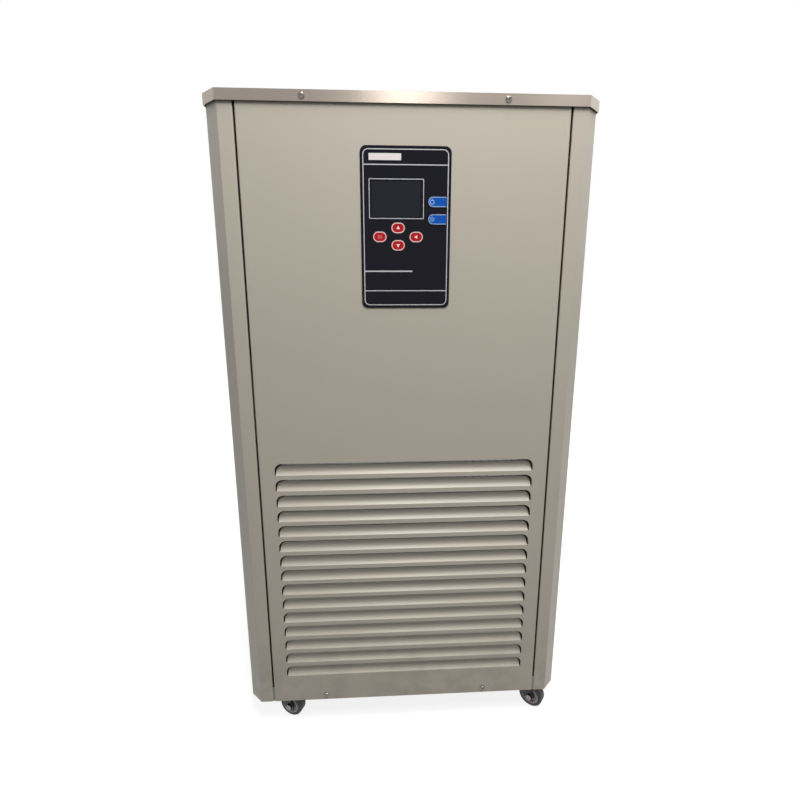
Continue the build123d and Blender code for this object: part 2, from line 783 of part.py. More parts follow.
# Fan: a shroud on the condenser's back with four motor arms, a motor and a bladed fan.
shroud_front = condenser_front + condenser_depth
shroud_back = shroud_front + shroud_depth
fan_z = pan_floor + condenser_height / 2
fan_ring = fan_radius + fan_tip_gap
fan_plane = Plane(origin=(0, shroud_back, fan_z), x_dir=(1, 0, 0), z_dir=(0, -1, 0))
with BuildPart() as fan_shroud:
    with BuildSketch(fan_plane):
        Rectangle(condenser_width, condenser_height)
    extrude(amount=shroud_depth)
    offset(amount=-shroud_sheet, openings=fan_shroud.faces().sort_by(Axis.Y)[0],
           kind=Kind.INTERSECTION)
    with BuildSketch(fan_plane):
        Circle(fan_ring)
        with Locations((0, 0)):
            Rectangle(arm_width, 2 * fan_ring, mode=Mode.SUBTRACT)
            Rectangle(2 * fan_ring, arm_width, mode=Mode.SUBTRACT)
            Circle(motor_radius + 2 * shroud_sheet, mode=Mode.SUBTRACT)
    extrude(amount=2 * shroud_sheet, mode=Mode.SUBTRACT)
    with BuildSketch(fan_plane):
        Circle(fan_shaft_radius + shaft_clearance)
    extrude(amount=2 * shroud_sheet, mode=Mode.SUBTRACT)
save(fan_shroud, "fan_shroud")

with BuildPart() as fan_motor:
    with BuildSketch(fan_plane):
        Circle(motor_radius)
    extrude(amount=-motor_length)
    fillet(fan_motor.edges().filter_by(GeomType.CIRCLE), motor_edge)
    with BuildSketch(fan_plane):
        Circle(fan_shaft_radius)
    extrude(amount=shroud_depth - fin_groove)
save(fan_motor, "fan_motor")

with BuildPart() as fan_wing:
    with BuildSketch(Plane.XY.offset(blade_root_radius)):
        Rectangle(blade_root_chord, blade_sheet, rotation=blade_root_twist)
    with BuildSketch(Plane.XY.offset(fan_radius + blade_sheet)):
        Rectangle(blade_tip_chord, blade_sheet, rotation=blade_tip_twist)
    loft()
    with BuildSketch(Plane.XZ):
        Circle(fan_radius)
    extrude(amount=fan_depth, both=True, mode=Mode.INTERSECT)

fan_middle = shroud_front + (shroud_depth - shroud_sheet) / 2
wing_planes = []
for blade in range(fan_blades):
    turn = radians(360 / fan_blades * blade)
    wing_planes.append(Plane(origin=(0, fan_middle, fan_z), x_dir=(cos(turn), 0, -sin(turn)),
                             z_dir=(sin(turn), 0, cos(turn))))
hub_plane = Plane(origin=(0, fan_middle, fan_z), x_dir=(1, 0, 0), z_dir=(0, -1, 0))
with BuildPart() as fan_blade:
    with BuildSketch(hub_plane):
        Circle(fan_hub_radius)
    extrude(amount=fan_hub_length / 2, both=True)
    with Locations(*wing_planes):
        add(fan_wing.part)
    with BuildSketch(hub_plane):
        Circle(fan_shaft_radius + running_clearance)
    extrude(amount=fan_depth, both=True, mode=Mode.SUBTRACT)
save(fan_blade, "fan_blade")

# Compressor: a drawn shell in two halves on a foot plate, with its suction and discharge stubs.
compressor_y = front_y + compressor_setback
plate_floor = pan_floor + foot_height
plate_top = plate_floor + 3 * casing_sheet
compressor_top = plate_top + compressor_height
stub_top = compressor_top + 3 * pipe_radius
compressor_plane = Plane(origin=(compressor_x, compressor_y, 0), x_dir=(1, 0, 0), z_dir=(0, -1, 0))
stub_points = [(compressor_x, compressor_y), (compressor_x + compressor_radius / 2, compressor_y)]
seam_z = plate_top + seam_height
cap_radius = compressor_radius - shell_step
with BuildPart() as compressor:
    with BuildSketch(compressor_plane):
        with BuildLine():
            FilletPolyline((0, plate_top), (compressor_radius, plate_top), (compressor_radius, seam_z),
                           radius=compressor_round)
            Polyline((compressor_radius, seam_z), (compressor_radius + seam_lip, seam_z),
                     (compressor_radius + seam_lip, seam_z + seam_sheet), (cap_radius, seam_z + seam_sheet))
            FilletPolyline((cap_radius, seam_z + seam_sheet), (cap_radius, compressor_top),
                           (0, compressor_top), radius=compressor_dome)
            Line((0, compressor_top), (0, plate_top))
        make_face()
    revolve(axis=Axis((compressor_x, compressor_y, 0), (0, 0, 1)))
    with BuildSketch(Plane.XY.offset(plate_floor)):
        with Locations((compressor_x, compressor_y)):
            RectangleRounded(foot_span, foot_span, plate_corner)
    extrude(amount=plate_top - plate_floor)
    with BuildSketch(Plane.XY.offset(compressor_top - 5 * pipe_radius)):
        with Locations(*stub_points):
            Circle(1.5 * pipe_radius)
    extrude(amount=stub_top - compressor_top + 5 * pipe_radius)
    with BuildSketch(Plane.YZ.offset(compressor_x - compressor_radius - terminal_reach)):
        with Locations((compressor_y, plate_top + terminal_z)):
            Rectangle(terminal_width, terminal_height)
    extrude(amount=terminal_depth)
save(compressor, "compressor")

with BuildPart() as compressor_feet:
    foot_grid = foot_span - 2.4 * foot_radius
    with BuildSketch(Plane.XY.offset(pan_floor)):
        with Locations((compressor_x, compressor_y)):
            with GridLocations(foot_grid, foot_grid, 2, 2):
                Circle(foot_radius)
    extrude(amount=foot_height)
    fillet(compressor_feet.edges().group_by(Axis.Z)[0], foot_edge)
save(compressor_feet, "compressor_feet")

# Filter drier: a spun copper cartridge that stands in the liquid line.
drier_floor = base_z + drier_z
drier_top = drier_floor + drier_length
pipe_y = front_y + pipe_rear
drier_plane = Plane(origin=(-pipe_side_x, pipe_y, 0), x_dir=(1, 0, 0), z_dir=(0, -1, 0))
with BuildPart() as filter_drier:
    with BuildSketch(drier_plane):
        with BuildLine():
            Polyline((0, drier_floor), (1.3 * pipe_radius, drier_floor),
                     (1.3 * pipe_radius, drier_floor + pipe_radius),
                     (drier_radius, drier_floor + drier_radius + pipe_radius),
                     (drier_radius, drier_top - drier_radius - pipe_radius),
                     (1.3 * pipe_radius, drier_top - pipe_radius), (1.3 * pipe_radius, drier_top),
                     (0, drier_top), (0, drier_floor))
        make_face()
    revolve(axis=Axis((-pipe_side_x, pipe_y, 0), (0, 0, 1)))
save(filter_drier, "filter_drier")

# Refrigerant pipes: discharge, liquid and suction lines of bent copper tube.
discharge_x, suction_x = stub_points[1][0], stub_points[0][0]
column_y = condenser_middle + tube_column / 2
lead_y = tank_y + lead_reach
discharge_line = [(condenser_half, column_y, rows[-1]), (pipe_side_x + pipe_radius, column_y, rows[-1]),
                  (pipe_side_x + pipe_radius, compressor_y, rows[-1]),
                  (discharge_x, compressor_y, rows[-1]), (discharge_x, compressor_y, stub_top)]
liquid_line = [(-condenser_half, column_y, rows[0]), (-pipe_side_x, column_y, rows[0]),
               (-pipe_side_x, pipe_y, rows[0]), (-pipe_side_x, pipe_y, drier_floor)]
expansion_line = [(-pipe_side_x, pipe_y, drier_top), (-pipe_side_x, pipe_y, coil_foot),
                  (0, pipe_y, coil_foot), (0, lead_y, coil_foot)]
suction_turn = 8 * pipe_radius
suction_run_z = rows[-1] + 6 * pipe_radius
suction_line = [(0, lead_y, coil_head), (0, pipe_y, coil_head), (suction_turn, pipe_y, coil_head),
                (suction_turn, pipe_y, suction_run_z), (suction_x, compressor_y, suction_run_z),
                (suction_x, compressor_y, stub_top)]
with BuildPart() as refrigerant_pipes:
    for line_points in (discharge_line, liquid_line, expansion_line, suction_line):
        add(tube_along(line_points, pipe_radius, pipe_bend).part)
save(refrigerant_pipes, "refrigerant_pipes")

# Pump: a ribbed motor and a volute on a foot, drawing from the rear and pushing upwards.
pump_y = front_y + pump_setback
pump_z = base_z + pump_axis_z
pump_plane = Plane(origin=(pump_x, pump_y, pump_z), x_dir=(1, 0, 0), z_dir=(0, -1, 0))
inlet_end = pump_y + volute_width + pump_port_length
outlet_end = pump_z + volute_radius + pump_port_length
port_y = pump_y + volute_width / 2
with BuildPart() as pump_housing:
    with BuildSketch(pump_plane):
        Circle(volute_radius)
    extrude(amount=-volute_width)
    fillet(pump_housing.edges().filter_by(GeomType.CIRCLE).sort_by(Axis.Y)[-1], volute_round)
    with BuildSketch(pump_plane.offset(-volute_width)):
        Circle(spigot_radius)
    extrude(amount=-pump_port_length)
    with BuildSketch(Plane.XY.offset(pump_z)):
        with Locations((pump_x, port_y)):
            Circle(spigot_radius)
    extrude(amount=outlet_end - pump_z)
save(pump_housing, "pump_housing")

with BuildPart() as pump_motor:
    with BuildSketch(pump_plane):
        Circle(pump_motor_radius)
    extrude(amount=pump_motor_length)
    with BuildSketch(pump_plane.offset(motor_rib_start)):
        with PolarLocations(pump_motor_radius, motor_rib_count):
            Rectangle(2 * motor_rib_depth, motor_rib_depth)
    extrude(amount=motor_rib_length, mode=Mode.SUBTRACT)
    with BuildSketch(Plane.XY.offset(pan_floor)):
        with Locations((pump_x, pump_y - pump_motor_length / 2)):
            Rectangle(pump_foot_width, pump_foot_length)
    extrude(amount=pump_z - motor_saddle - pan_floor)
save(pump_motor, "pump_motor")

# Hoses: from the tank to the pump and the drain, from the pump to the outlet, and back again.
hose_bore = spigot_radius + hose_clearance
hose_outer = hose_bore + hose_wall
branch_bore = drain_spigot_radius + hose_clearance
branch_outer = branch_bore + hose_wall
nozzle_end = rear_y - casing_sheet - nozzle_nut - nozzle_inside
hose_rear = nozzle_end - branch_bend - hose_margin
branch_z = base_z + drain_z
tank_stub_end = tank_floor - tank_wall - drain_stub_length
suction_drop = shelf_top - 5 * hose_bend
suction_points = [(0, tank_y, tank_stub_end + hose_overlap), (0, tank_y, suction_drop),
                  (pump_x, hose_rear, suction_drop), (pump_x, hose_rear, pump_z),
                  (pump_x, inlet_end - hose_overlap, pump_z)]
branch_points = [(pump_x, hose_rear, branch_z), (drain_x, hose_rear, branch_z),
                 (drain_x, nozzle_end + hose_overlap, branch_z)]
with BuildPart() as suction_hose:
    add(tube_along(suction_points, hose_outer, branch_bend).part)
    add(tube_along(branch_points, branch_outer, branch_bend).part)
    add(tube_along(suction_points, hose_bore, branch_bend).part, mode=Mode.SUBTRACT)
    add(tube_along(branch_points, branch_bore, branch_bend).part, mode=Mode.SUBTRACT)
save(suction_hose, "suction_hose")

delivery_z = base_z + outlet_z
cross_z = compressor_top + 3 * hose_outer
delivery_y = front_y + delivery_setback
delivery_points = [(pump_x, port_y, outlet_end - hose_overlap), (pump_x, port_y, cross_z),
                   (nozzle_x, delivery_y, cross_z), (nozzle_x, delivery_y, delivery_z),
                   (nozzle_x, nozzle_end + hose_overlap, delivery_z)]
delivery_hose = tube_along(delivery_points, hose_outer, hose_bend, hose_bore)
save(delivery_hose, "delivery_hose")

return_y = hose_rear - return_run
return_points = [(return_x, return_end - hose_overlap, return_z), (return_x, return_y, return_z),
                 (nozzle_x, return_y, return_z), (nozzle_x, nozzle_end + hose_overlap, return_z)]
return_hose = tube_along(return_points, hose_outer, branch_bend, hose_bore)
save(return_hose, "return_hose")

# Hose nozzles: turned stainless spigots with a plain seat and a row of barbs.
nozzle_root = rear_y + nozzle_hex_length
seat_end = nozzle_root + nozzle_seat_length
for nozzle_name, nozzle_z in (("outlet_nozzle", base_z + outlet_z), ("inlet_nozzle", return_z)):
    with BuildPart() as nozzle:
        nozzle_section = Plane(origin=(nozzle_x, 0, nozzle_z), x_dir=(1, 0, 0), z_dir=(0, 0, 1))
        profile = [(0, nozzle_end), (spigot_radius, nozzle_end), (spigot_radius, nozzle_root),
                   (nozzle_seat_radius, nozzle_root), (nozzle_seat_radius, seat_end), (barb_root, seat_end)]
        for barb in range(barb_count):
            barb_start = seat_end + barb * barb_length
            profile += [(barb_root, barb_start + barb_neck), (nozzle_seat_radius, barb_start + barb_neck),
                        (barb_root, barb_start + barb_length)]
        profile += [(0, seat_end + barb_count * barb_length), (0, nozzle_end)]
        with BuildSketch(nozzle_section):
            with BuildLine():
                Polyline(*profile)
            make_face()
        revolve(axis=Axis((nozzle_x, 0, nozzle_z), (0, 1, 0)))
        with BuildSketch(Plane.XZ.offset(-rear_y)):
            with Locations((nozzle_x, nozzle_z)):
                RegularPolygon(nozzle_hex, 6)
        extrude(amount=-nozzle_hex_length)
        with BuildSketch(Plane.XZ.offset(-(rear_y - casing_sheet))):
            with Locations((nozzle_x, nozzle_z)):
                RegularPolygon(nozzle_hex, 6)
        extrude(amount=nozzle_nut)
        with BuildSketch(Plane.XZ.offset(-nozzle_end)):
            with Locations((nozzle_x, nozzle_z)):
                Circle(nozzle_bore)
        extrude(amount=-body_depth, mode=Mode.SUBTRACT)
    save(nozzle, nozzle_name)

# Drain valve: a brass ball valve with a spout, and a lever on its upright stem.
valve_z = branch_z
housing_end = rear_y + nozzle_hex_length + valve_housing
stem_y = rear_y + nozzle_hex_length + valve_housing / 2
boss_top = valve_z + stem_boss_height
with BuildPart() as drain_valve_body:
    with BuildSketch(Plane(origin=(drain_x, 0, valve_z), x_dir=(1, 0, 0), z_dir=(0, 0, 1))):
        with BuildLine():
            Polyline((0, nozzle_end), (drain_spigot_radius, nozzle_end),
                     (drain_spigot_radius, rear_y + nozzle_hex_length),
                     (valve_radius, rear_y + nozzle_hex_length + valve_taper),
                     (valve_radius, housing_end - valve_taper),
                     (valve_spout_radius, housing_end),
                     (valve_spout_radius, housing_end + valve_spout_length),
                     (0, housing_end + valve_spout_length), (0, nozzle_end))
        make_face()
    revolve(axis=Axis((drain_x, 0, valve_z), (0, 1, 0)))
    with BuildSketch(Plane.XZ.offset(-rear_y)):
        with Locations((drain_x, valve_z)):
            RegularPolygon(nozzle_hex, 6)
    extrude(amount=-nozzle_hex_length)
    with BuildSketch(Plane.XZ.offset(-(rear_y - casing_sheet))):
        with Locations((drain_x, valve_z)):
            RegularPolygon(nozzle_hex, 6)
    extrude(amount=nozzle_nut)
    with BuildSketch(Plane.XY.offset(valve_z)):
        with Locations((drain_x, stem_y)):
            Circle(stem_boss_radius)
    extrude(amount=stem_boss_height)
    with BuildSketch(Plane.XY.offset(boss_top)):
        with Locations((drain_x, stem_y)):
            Circle(stem_radius + running_clearance)
    extrude(amount=-(stem_depth + stem_gap), mode=Mode.SUBTRACT)
    with BuildSketch(Plane.XZ.offset(-(housing_end + valve_spout_length))):
        with Locations((drain_x, valve_z)):
            Circle(valve_bore)
    extrude(amount=valve_spout_length, mode=Mode.SUBTRACT)
save(drain_valve_body, "drain_valve_body")

lever_floor = boss_top + lever_gap
with BuildPart() as drain_valve_lever:
    lever_points = [(drain_x - stem_boss_radius, lever_floor), (drain_x + 2 * stem_boss_radius, lever_floor),
                    (drain_x + 4 * stem_boss_radius, lever_floor + stem_boss_radius),
                    (drain_x + lever_length, lever_floor + stem_boss_radius)]
    extrude(folded_section(Plane.XZ.offset(-(stem_y + lever_width / 2)), lever_points, lever_sheet,
                           Side.LEFT, lever_sheet), amount=lever_width)
    fillet(drain_valve_lever.edges().filter_by(Axis.Z).group_by(Axis.X)[-1], lever_round)
    with BuildSketch(Plane.XY.offset(boss_top - stem_depth)):
        with Locations((drain_x, stem_y)):
            Circle(stem_radius)
    extrude(amount=stem_depth + lever_sheet)
    with BuildSketch(Plane.XY.offset(lever_floor + lever_sheet)):
        with Locations((drain_x, stem_y)):
            RegularPolygon(lever_nut, 6)
    extrude(amount=stem_radius)
save(drain_valve_lever, "drain_valve_lever")

# Cord gland: the moulded inlet of the mains lead, with a domed nut and a locknut.
gland_height = base_z + gland_z
gland_start = rear_y - casing_sheet - nozzle_nut
with BuildPart() as cord_gland:
    with BuildSketch(Plane(origin=(gland_x, 0, gland_height), x_dir=(1, 0, 0),
                           z_dir=(0, 0, 1))) as gland_section:
        with BuildLine():
            Polyline((nozzle_bore, gland_start), (spigot_radius, gland_start), (spigot_radius, rear_y),
                     (gland_radius, rear_y), (gland_radius, rear_y + gland_length),
                     (nozzle_bore, rear_y + gland_length), (nozzle_bore, gland_start))
        make_face()
        fillet(gland_section.vertices().group_by(Axis.Y)[-1].sort_by(Axis.X)[-1], gland_round)
    revolve(axis=Axis((gland_x, 0, gland_height), (0, 1, 0)))
    with BuildSketch(Plane.XZ.offset(-rear_y)):
        with Locations((gland_x, gland_height)):
            RegularPolygon(gland_hex, 6)
            Circle(nozzle_bore, mode=Mode.SUBTRACT)
    extrude(amount=-gland_hex_length)
    with BuildSketch(Plane.XZ.offset(-(rear_y - casing_sheet))):
        with Locations((gland_x, gland_height)):
            RegularPolygon(gland_hex, 6)
            Circle(nozzle_bore, mode=Mode.SUBTRACT)
    extrude(amount=nozzle_nut)
save(cord_gland, "cord_gland")

# Mains switch: a bezelled body in the rear panel and a rocker on two moulded pins.
switch_height_z = base_z + switch_z
pivot_y = rear_y - rocker_setback
pocket_half = rocker_radius + rocker_gap
with BuildPart() as mains_switch_body:
    with BuildSketch(Plane.XZ.offset(-(rear_y - switch_depth))):
        with Locations((switch_x, switch_height_z)):
            Rectangle(switch_width - 2 * switch_fit, switch_height - 2 * switch_fit)
    extrude(amount=-switch_depth)
    with BuildSketch(Plane.XZ.offset(-rear_y)):
        with Locations((switch_x, switch_height_z)):
            RectangleRounded(switch_width + 2 * switch_bezel, switch_height + 2 * switch_bezel,
                             bezel_corner)
    extrude(amount=-switch_bezel)
    with BuildSketch(Plane.XZ.offset(-(rear_y + switch_bezel))):
        with Locations((switch_x, switch_height_z)):
            Rectangle(rocker_width + 2 * rocker_gap, 2 * pocket_half)
    extrude(amount=rear_y + switch_bezel - pivot_y + pocket_half, mode=Mode.SUBTRACT)
    with BuildSketch(Plane.YZ.offset(switch_x)):
        with Locations((pivot_y, switch_height_z)):
            Circle(rocker_pin + running_clearance)
    extrude(amount=rocker_width / 2 + rocker_pin, both=True, mode=Mode.SUBTRACT)
save(mains_switch_body, "mains_switch_body")

rocker_reach = 2 * rocker_radius
rocker_crown = rocker_face + rocker_reach * tan(radians(rocker_tilt))
tilt = radians(rocker_tilt)
rocker_plane = Plane(origin=(switch_x, pivot_y, switch_height_z), x_dir=(0, cos(tilt), -sin(tilt)),
                     z_dir=(1, 0, 0))
with BuildPart() as mains_switch_rocker:
    with BuildSketch(rocker_plane):
        Circle(rocker_radius)
        with BuildLine():
            Polyline((rocker_reach, -rocker_reach), (rocker_crown, -rocker_reach), (rocker_face, 0),
                     (rocker_crown, rocker_reach), (rocker_reach, rocker_reach),
                     (rocker_reach, -rocker_reach))
        make_face(mode=Mode.SUBTRACT)
    extrude(amount=rocker_width / 2, both=True)
    with BuildSketch(rocker_plane):
        Circle(rocker_pin)
    extrude(amount=rocker_width / 2 + rocker_pin - rocker_pin_gap, both=True)
save(mains_switch_rocker, "mains_switch_rocker")

# Caster plates: pressed plates under the pan, each with the kingpin riveted through it.
plate_face = caster_height - caster_plate_sheet
head_top = plate_face - race_gap
head_floor = head_top - race_height
with BuildPart() as caster_plates:
    for mount in caster_points.values():
        with BuildSketch(Plane.XY.offset(plate_face)):
            with Locations(mount):
                RectangleRounded(caster_plate, caster_plate, caster_plate_corner)
                with GridLocations(caster_bolt_span, caster_bolt_span, 2, 2):
                    Circle(caster_bolt_hole, mode=Mode.SUBTRACT)
        extrude(amount=caster_plate_sheet)
        with BuildSketch(Plane.XY.offset(plate_face)):
            with Locations(mount):
                Circle(kingpin_radius)
        extrude(amount=-(race_gap + race_height + race_gap))
        with BuildSketch(Plane.XY.offset(head_floor - race_gap)):
            with Locations(mount):
                Circle(kingpin_head)
        extrude(amount=-kingpin_head_height)
save(caster_plates, "caster_plates")

# Casters: a swivel fork, its axle bolt, and a wheel of a hub and a tyre, made for each corner.
leg_inner = wheel_width / 2 + leg_gap
leg_outer = leg_inner + leg_sheet
hub_radius = wheel_radius - tyre_depth
for corner, mount in caster_points.items():
    angle = radians(caster_angles[corner])
    along, across = (cos(angle), sin(angle), 0), (sin(angle), -cos(angle), 0)
    side_plane = Plane(origin=(*mount, 0), x_dir=along, z_dir=across)
    axle_spot = (wheel_trail, wheel_radius)
    wheel_axis = Axis((mount[0] + wheel_trail * along[0], mount[1] + wheel_trail * along[1],
                       wheel_radius), across)
    with BuildPart() as caster_fork:
        with BuildSketch(Plane.XY.offset(head_floor)):
            with Locations(mount):
                Circle(race_radius)
        extrude(amount=race_height)
        chamfer(caster_fork.edges().filter_by(GeomType.CIRCLE).sort_by(Axis.Z)[0], race_bevel)
        for leg_side in (-1, 1):
            with BuildSketch(side_plane.offset(leg_side * (leg_inner + leg_sheet / 2))):
                with Locations(axle_spot):
                    Circle(leg_round)
                with Locations((leg_root_shift, head_floor + race_height / 2)):
                    Rectangle(leg_root_length, leg_root_height)
                make_hull()
            extrude(amount=leg_sheet / 2, both=True)
        with BuildSketch(side_plane):
            with Locations(axle_spot):
                Circle(axle_radius)
        extrude(amount=2 * leg_outer, both=True, mode=Mode.SUBTRACT)
        with BuildSketch(Plane.XY.offset(head_floor)):
            with Locations(mount):
                Circle(kingpin_radius + running_clearance)
        extrude(amount=race_height, mode=Mode.SUBTRACT)
    save(caster_fork, f"fork_{corner}")

    with BuildPart() as caster_axle:
        with BuildSketch(side_plane):
            with Locations(axle_spot):
                Circle(axle_radius)
        extrude(amount=leg_outer + axle_head_height, both=True)
        for face_side in (-1, 1):
            with BuildSketch(side_plane.offset(face_side * (leg_outer + axle_head_height / 2))):
                with Locations(axle_spot):
                    RegularPolygon(axle_head, 6)
            extrude(amount=axle_head_height / 2, both=True)
    save(caster_axle, f"axle_{corner}")

    with BuildPart() as wheel_hub:
        with BuildSketch(side_plane):
            with Locations(axle_spot):
                Circle(hub_radius)
        extrude(amount=wheel_width / 2, both=True)
        for face_side in (-1, 1):
            with BuildSketch(side_plane.offset(face_side * (wheel_width / 2 - hub_recess / 2))):
                with Locations(axle_spot):
                    Circle(hub_radius - hub_ring)
                    Circle(axle_radius + hub_ring, mode=Mode.SUBTRACT)
            extrude(amount=hub_recess / 2, both=True, mode=Mode.SUBTRACT)
        with BuildSketch(side_plane):
            with Locations(axle_spot):
                Circle(axle_radius + running_clearance)
        extrude(amount=wheel_width, both=True, mode=Mode.SUBTRACT)
    save(wheel_hub, f"hub_{corner}")

    with BuildPart() as wheel_tyre:
        with BuildSketch(side_plane):
            with Locations(axle_spot):
                Circle(wheel_radius)
        extrude(amount=wheel_width / 2, both=True)
        fillet(wheel_tyre.edges().filter_by(GeomType.CIRCLE), tyre_round)
        with BuildSketch(side_plane):
            with Locations(axle_spot):
                Circle(hub_radius)
        extrude(amount=wheel_width, both=True, mode=Mode.SUBTRACT)
    save(wheel_tyre, f"tyre_{corner}")
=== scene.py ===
import json
from math import pi, radians

import bmesh
import bpy
from mathutils import Matrix, Vector


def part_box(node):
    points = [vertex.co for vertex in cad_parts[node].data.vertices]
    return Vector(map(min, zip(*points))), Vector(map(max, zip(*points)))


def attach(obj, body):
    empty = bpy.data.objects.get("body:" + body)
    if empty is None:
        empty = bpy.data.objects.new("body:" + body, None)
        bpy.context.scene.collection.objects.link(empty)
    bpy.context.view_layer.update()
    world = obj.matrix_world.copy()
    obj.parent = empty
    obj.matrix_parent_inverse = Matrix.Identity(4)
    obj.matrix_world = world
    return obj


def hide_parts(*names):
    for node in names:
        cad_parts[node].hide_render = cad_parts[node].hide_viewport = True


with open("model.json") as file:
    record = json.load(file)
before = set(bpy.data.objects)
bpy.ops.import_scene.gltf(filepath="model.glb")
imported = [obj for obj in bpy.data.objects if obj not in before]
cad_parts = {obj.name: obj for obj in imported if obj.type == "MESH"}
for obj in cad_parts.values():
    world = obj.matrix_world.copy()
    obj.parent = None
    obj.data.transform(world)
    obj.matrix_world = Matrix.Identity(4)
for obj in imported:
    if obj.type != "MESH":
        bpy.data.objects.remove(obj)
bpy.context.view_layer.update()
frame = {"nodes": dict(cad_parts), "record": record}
nodes = frame["nodes"]

# Casing. Two folded side shells and the front and rear panels, of cold-rolled steel sheet with
# a textured powder coat that is baked on after folding, so the paint also covers the lanced
# louvres and the cut edges. The screws in the apron and along the pan hold the panels.
front_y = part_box("front_panel")[0].y
rear_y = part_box("rear_panel")[1].y
pan_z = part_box("base_pan")[0].z
mm = 0.001


def linear(red, green, blue):
    """Scene colour of a finish that is matched by its screen values, 0 to 255."""
    shares = [c / 255 for c in (red, green, blue)]
    return (*[s / 12.92 if s < 0.04045 else ((s + 0.055) / 1.055) ** 2.4 for s in shares], 1.0)


def node_group(name, inputs, outputs):
    """An empty shader node group with its named sockets, its input node and its output node."""
    group = bpy.data.node_groups.new(name, "ShaderNodeTree")
    for label, kind, value in inputs:
        socket = group.interface.new_socket(label, in_out="INPUT", socket_type=kind)
        socket.default_value = value
    for label in outputs:
        group.interface.new_socket(label, in_out="OUTPUT", socket_type="NodeSocketFloat")
    return group, group.nodes.new("NodeGroupInput"), group.nodes.new("NodeGroupOutput")


def add_node(tree, kind, values=None, operation=None):
    """Adds a shader node to a tree, with its operation and the values of its inputs."""
    node = tree.nodes.new("ShaderNode" + kind)
    if operation:
        node.operation = operation
    for label, value in (values or {}).items():
        node.inputs[label].default_value = value
    return node


def join(tree, *pairs):
    """Links sockets in pairs, each from an output to an input."""
    for source, target in pairs:
        tree.links.new(source, target)


grain_group, grain_in, grain_out = node_group(
    "surface_grain",
    [("Scale", "NodeSocketFloat", 600.0), ("Stretch", "NodeSocketVector", (1, 1, 1))],
    ["Fine", "Broad"])
grain_place = add_node(grain_group, "TexCoord")
grain_stretch = add_node(grain_group, "VectorMath", operation="MULTIPLY")
grain_fine = add_node(grain_group, "TexNoise", {"Detail": 3.0})
grain_broad = add_node(grain_group, "TexNoise", {"Scale": 7.0, "Detail": 4.0})
join(grain_group,
     (grain_place.outputs["Object"], grain_stretch.inputs[0]),
     (grain_in.outputs["Stretch"], grain_stretch.inputs[1]),
     (grain_stretch.outputs[0], grain_fine.inputs["Vector"]),
     (grain_in.outputs["Scale"], grain_fine.inputs["Scale"]),
     (grain_place.outputs["Object"], grain_broad.inputs["Vector"]),
     (grain_fine.outputs[0], grain_out.inputs["Fine"]),
     (grain_broad.outputs[0], grain_out.inputs["Broad"]))

# Edge mask. On the casing it lays a painted highlight along rounded edges, where light catches
# them; on the forks it makes lighter worn edges.
edge_group, edge_in, edge_out = node_group(
    "edge_wear_and_painted_highlight", [("Width", "NodeSocketFloat", 0.0012)], ["Mask"])
edge_round = add_node(edge_group, "Bevel")
edge_round.samples = 4
edge_flat = add_node(edge_group, "NewGeometry")
edge_compare = add_node(edge_group, "VectorMath", operation="DOT_PRODUCT")
edge_range = add_node(edge_group, "MapRange", {"From Min": 0.97, "From Max": 0.86})
join(edge_group,
     (edge_in.outputs["Width"], edge_round.inputs["Radius"]),
     (edge_round.outputs["Normal"], edge_compare.inputs[0]),
     (edge_flat.outputs["True Normal"], edge_compare.inputs[1]),
     (edge_compare.outputs["Value"], edge_range.inputs["Value"]),
     (edge_range.outputs["Result"], edge_out.inputs["Mask"]))

# A mask of cloudy patches low down: dust on the tyres, painted shade on the pan, and a darker band
# at the bottom of the casing.
dust_and_shade_group, low_band_in, low_band_out = node_group(
    "floor_dust_and_painted_shade", [("Low", "NodeSocketFloat", 0.0), ("High", "NodeSocketFloat", 0.1)], ["Mask"])
low_band_place = add_node(dust_and_shade_group, "TexCoord")
low_band_axes = add_node(dust_and_shade_group, "SeparateXYZ")
low_band_height = add_node(dust_and_shade_group, "MapRange", {"To Min": 1.0, "To Max": 0.0})
low_band_clouds = add_node(dust_and_shade_group, "TexNoise", {"Scale": 38.0, "Detail": 6.0})
low_band_cut = add_node(dust_and_shade_group, "MapRange", {"From Min": 0.42, "From Max": 0.72})
low_band_mix = add_node(dust_and_shade_group, "Math", operation="MULTIPLY")
join(dust_and_shade_group,
     (low_band_place.outputs["Object"], low_band_axes.inputs[0]),
     (low_band_axes.outputs["Z"], low_band_height.inputs["Value"]),
     (low_band_in.outputs["Low"], low_band_height.inputs["From Min"]),
     (low_band_in.outputs["High"], low_band_height.inputs["From Max"]),
     (low_band_place.outputs["Object"], low_band_clouds.inputs["Vector"]),
     (low_band_clouds.outputs[0], low_band_cut.inputs["Value"]),
     (low_band_height.outputs["Result"], low_band_mix.inputs[0]),
     (low_band_cut.outputs["Result"], low_band_mix.inputs[1]),
     (low_band_mix.outputs[0], low_band_out.inputs["Mask"]))

# Painted shade: an occlusion mask that darkens the colour in seams, slits and hollows, where shade
# falls.
painted_crevice_shade_group, crevice_in, crevice_out = node_group(
    "painted_crevice_shade", [("Reach", "NodeSocketFloat", 0.012)], ["Mask"])
crevice_shade = add_node(painted_crevice_shade_group, "AmbientOcclusion")
crevice_shade.samples = 4
crevice_range = add_node(painted_crevice_shade_group, "MapRange", {"From Min": 0.62, "From Max": 0.12})
join(painted_crevice_shade_group,
     (crevice_in.outputs["Reach"], crevice_shade.inputs["Distance"]),
     (crevice_shade.outputs["AO"], crevice_range.inputs["Value"]),
     (crevice_range.outputs["Result"], crevice_out.inputs["Mask"]))


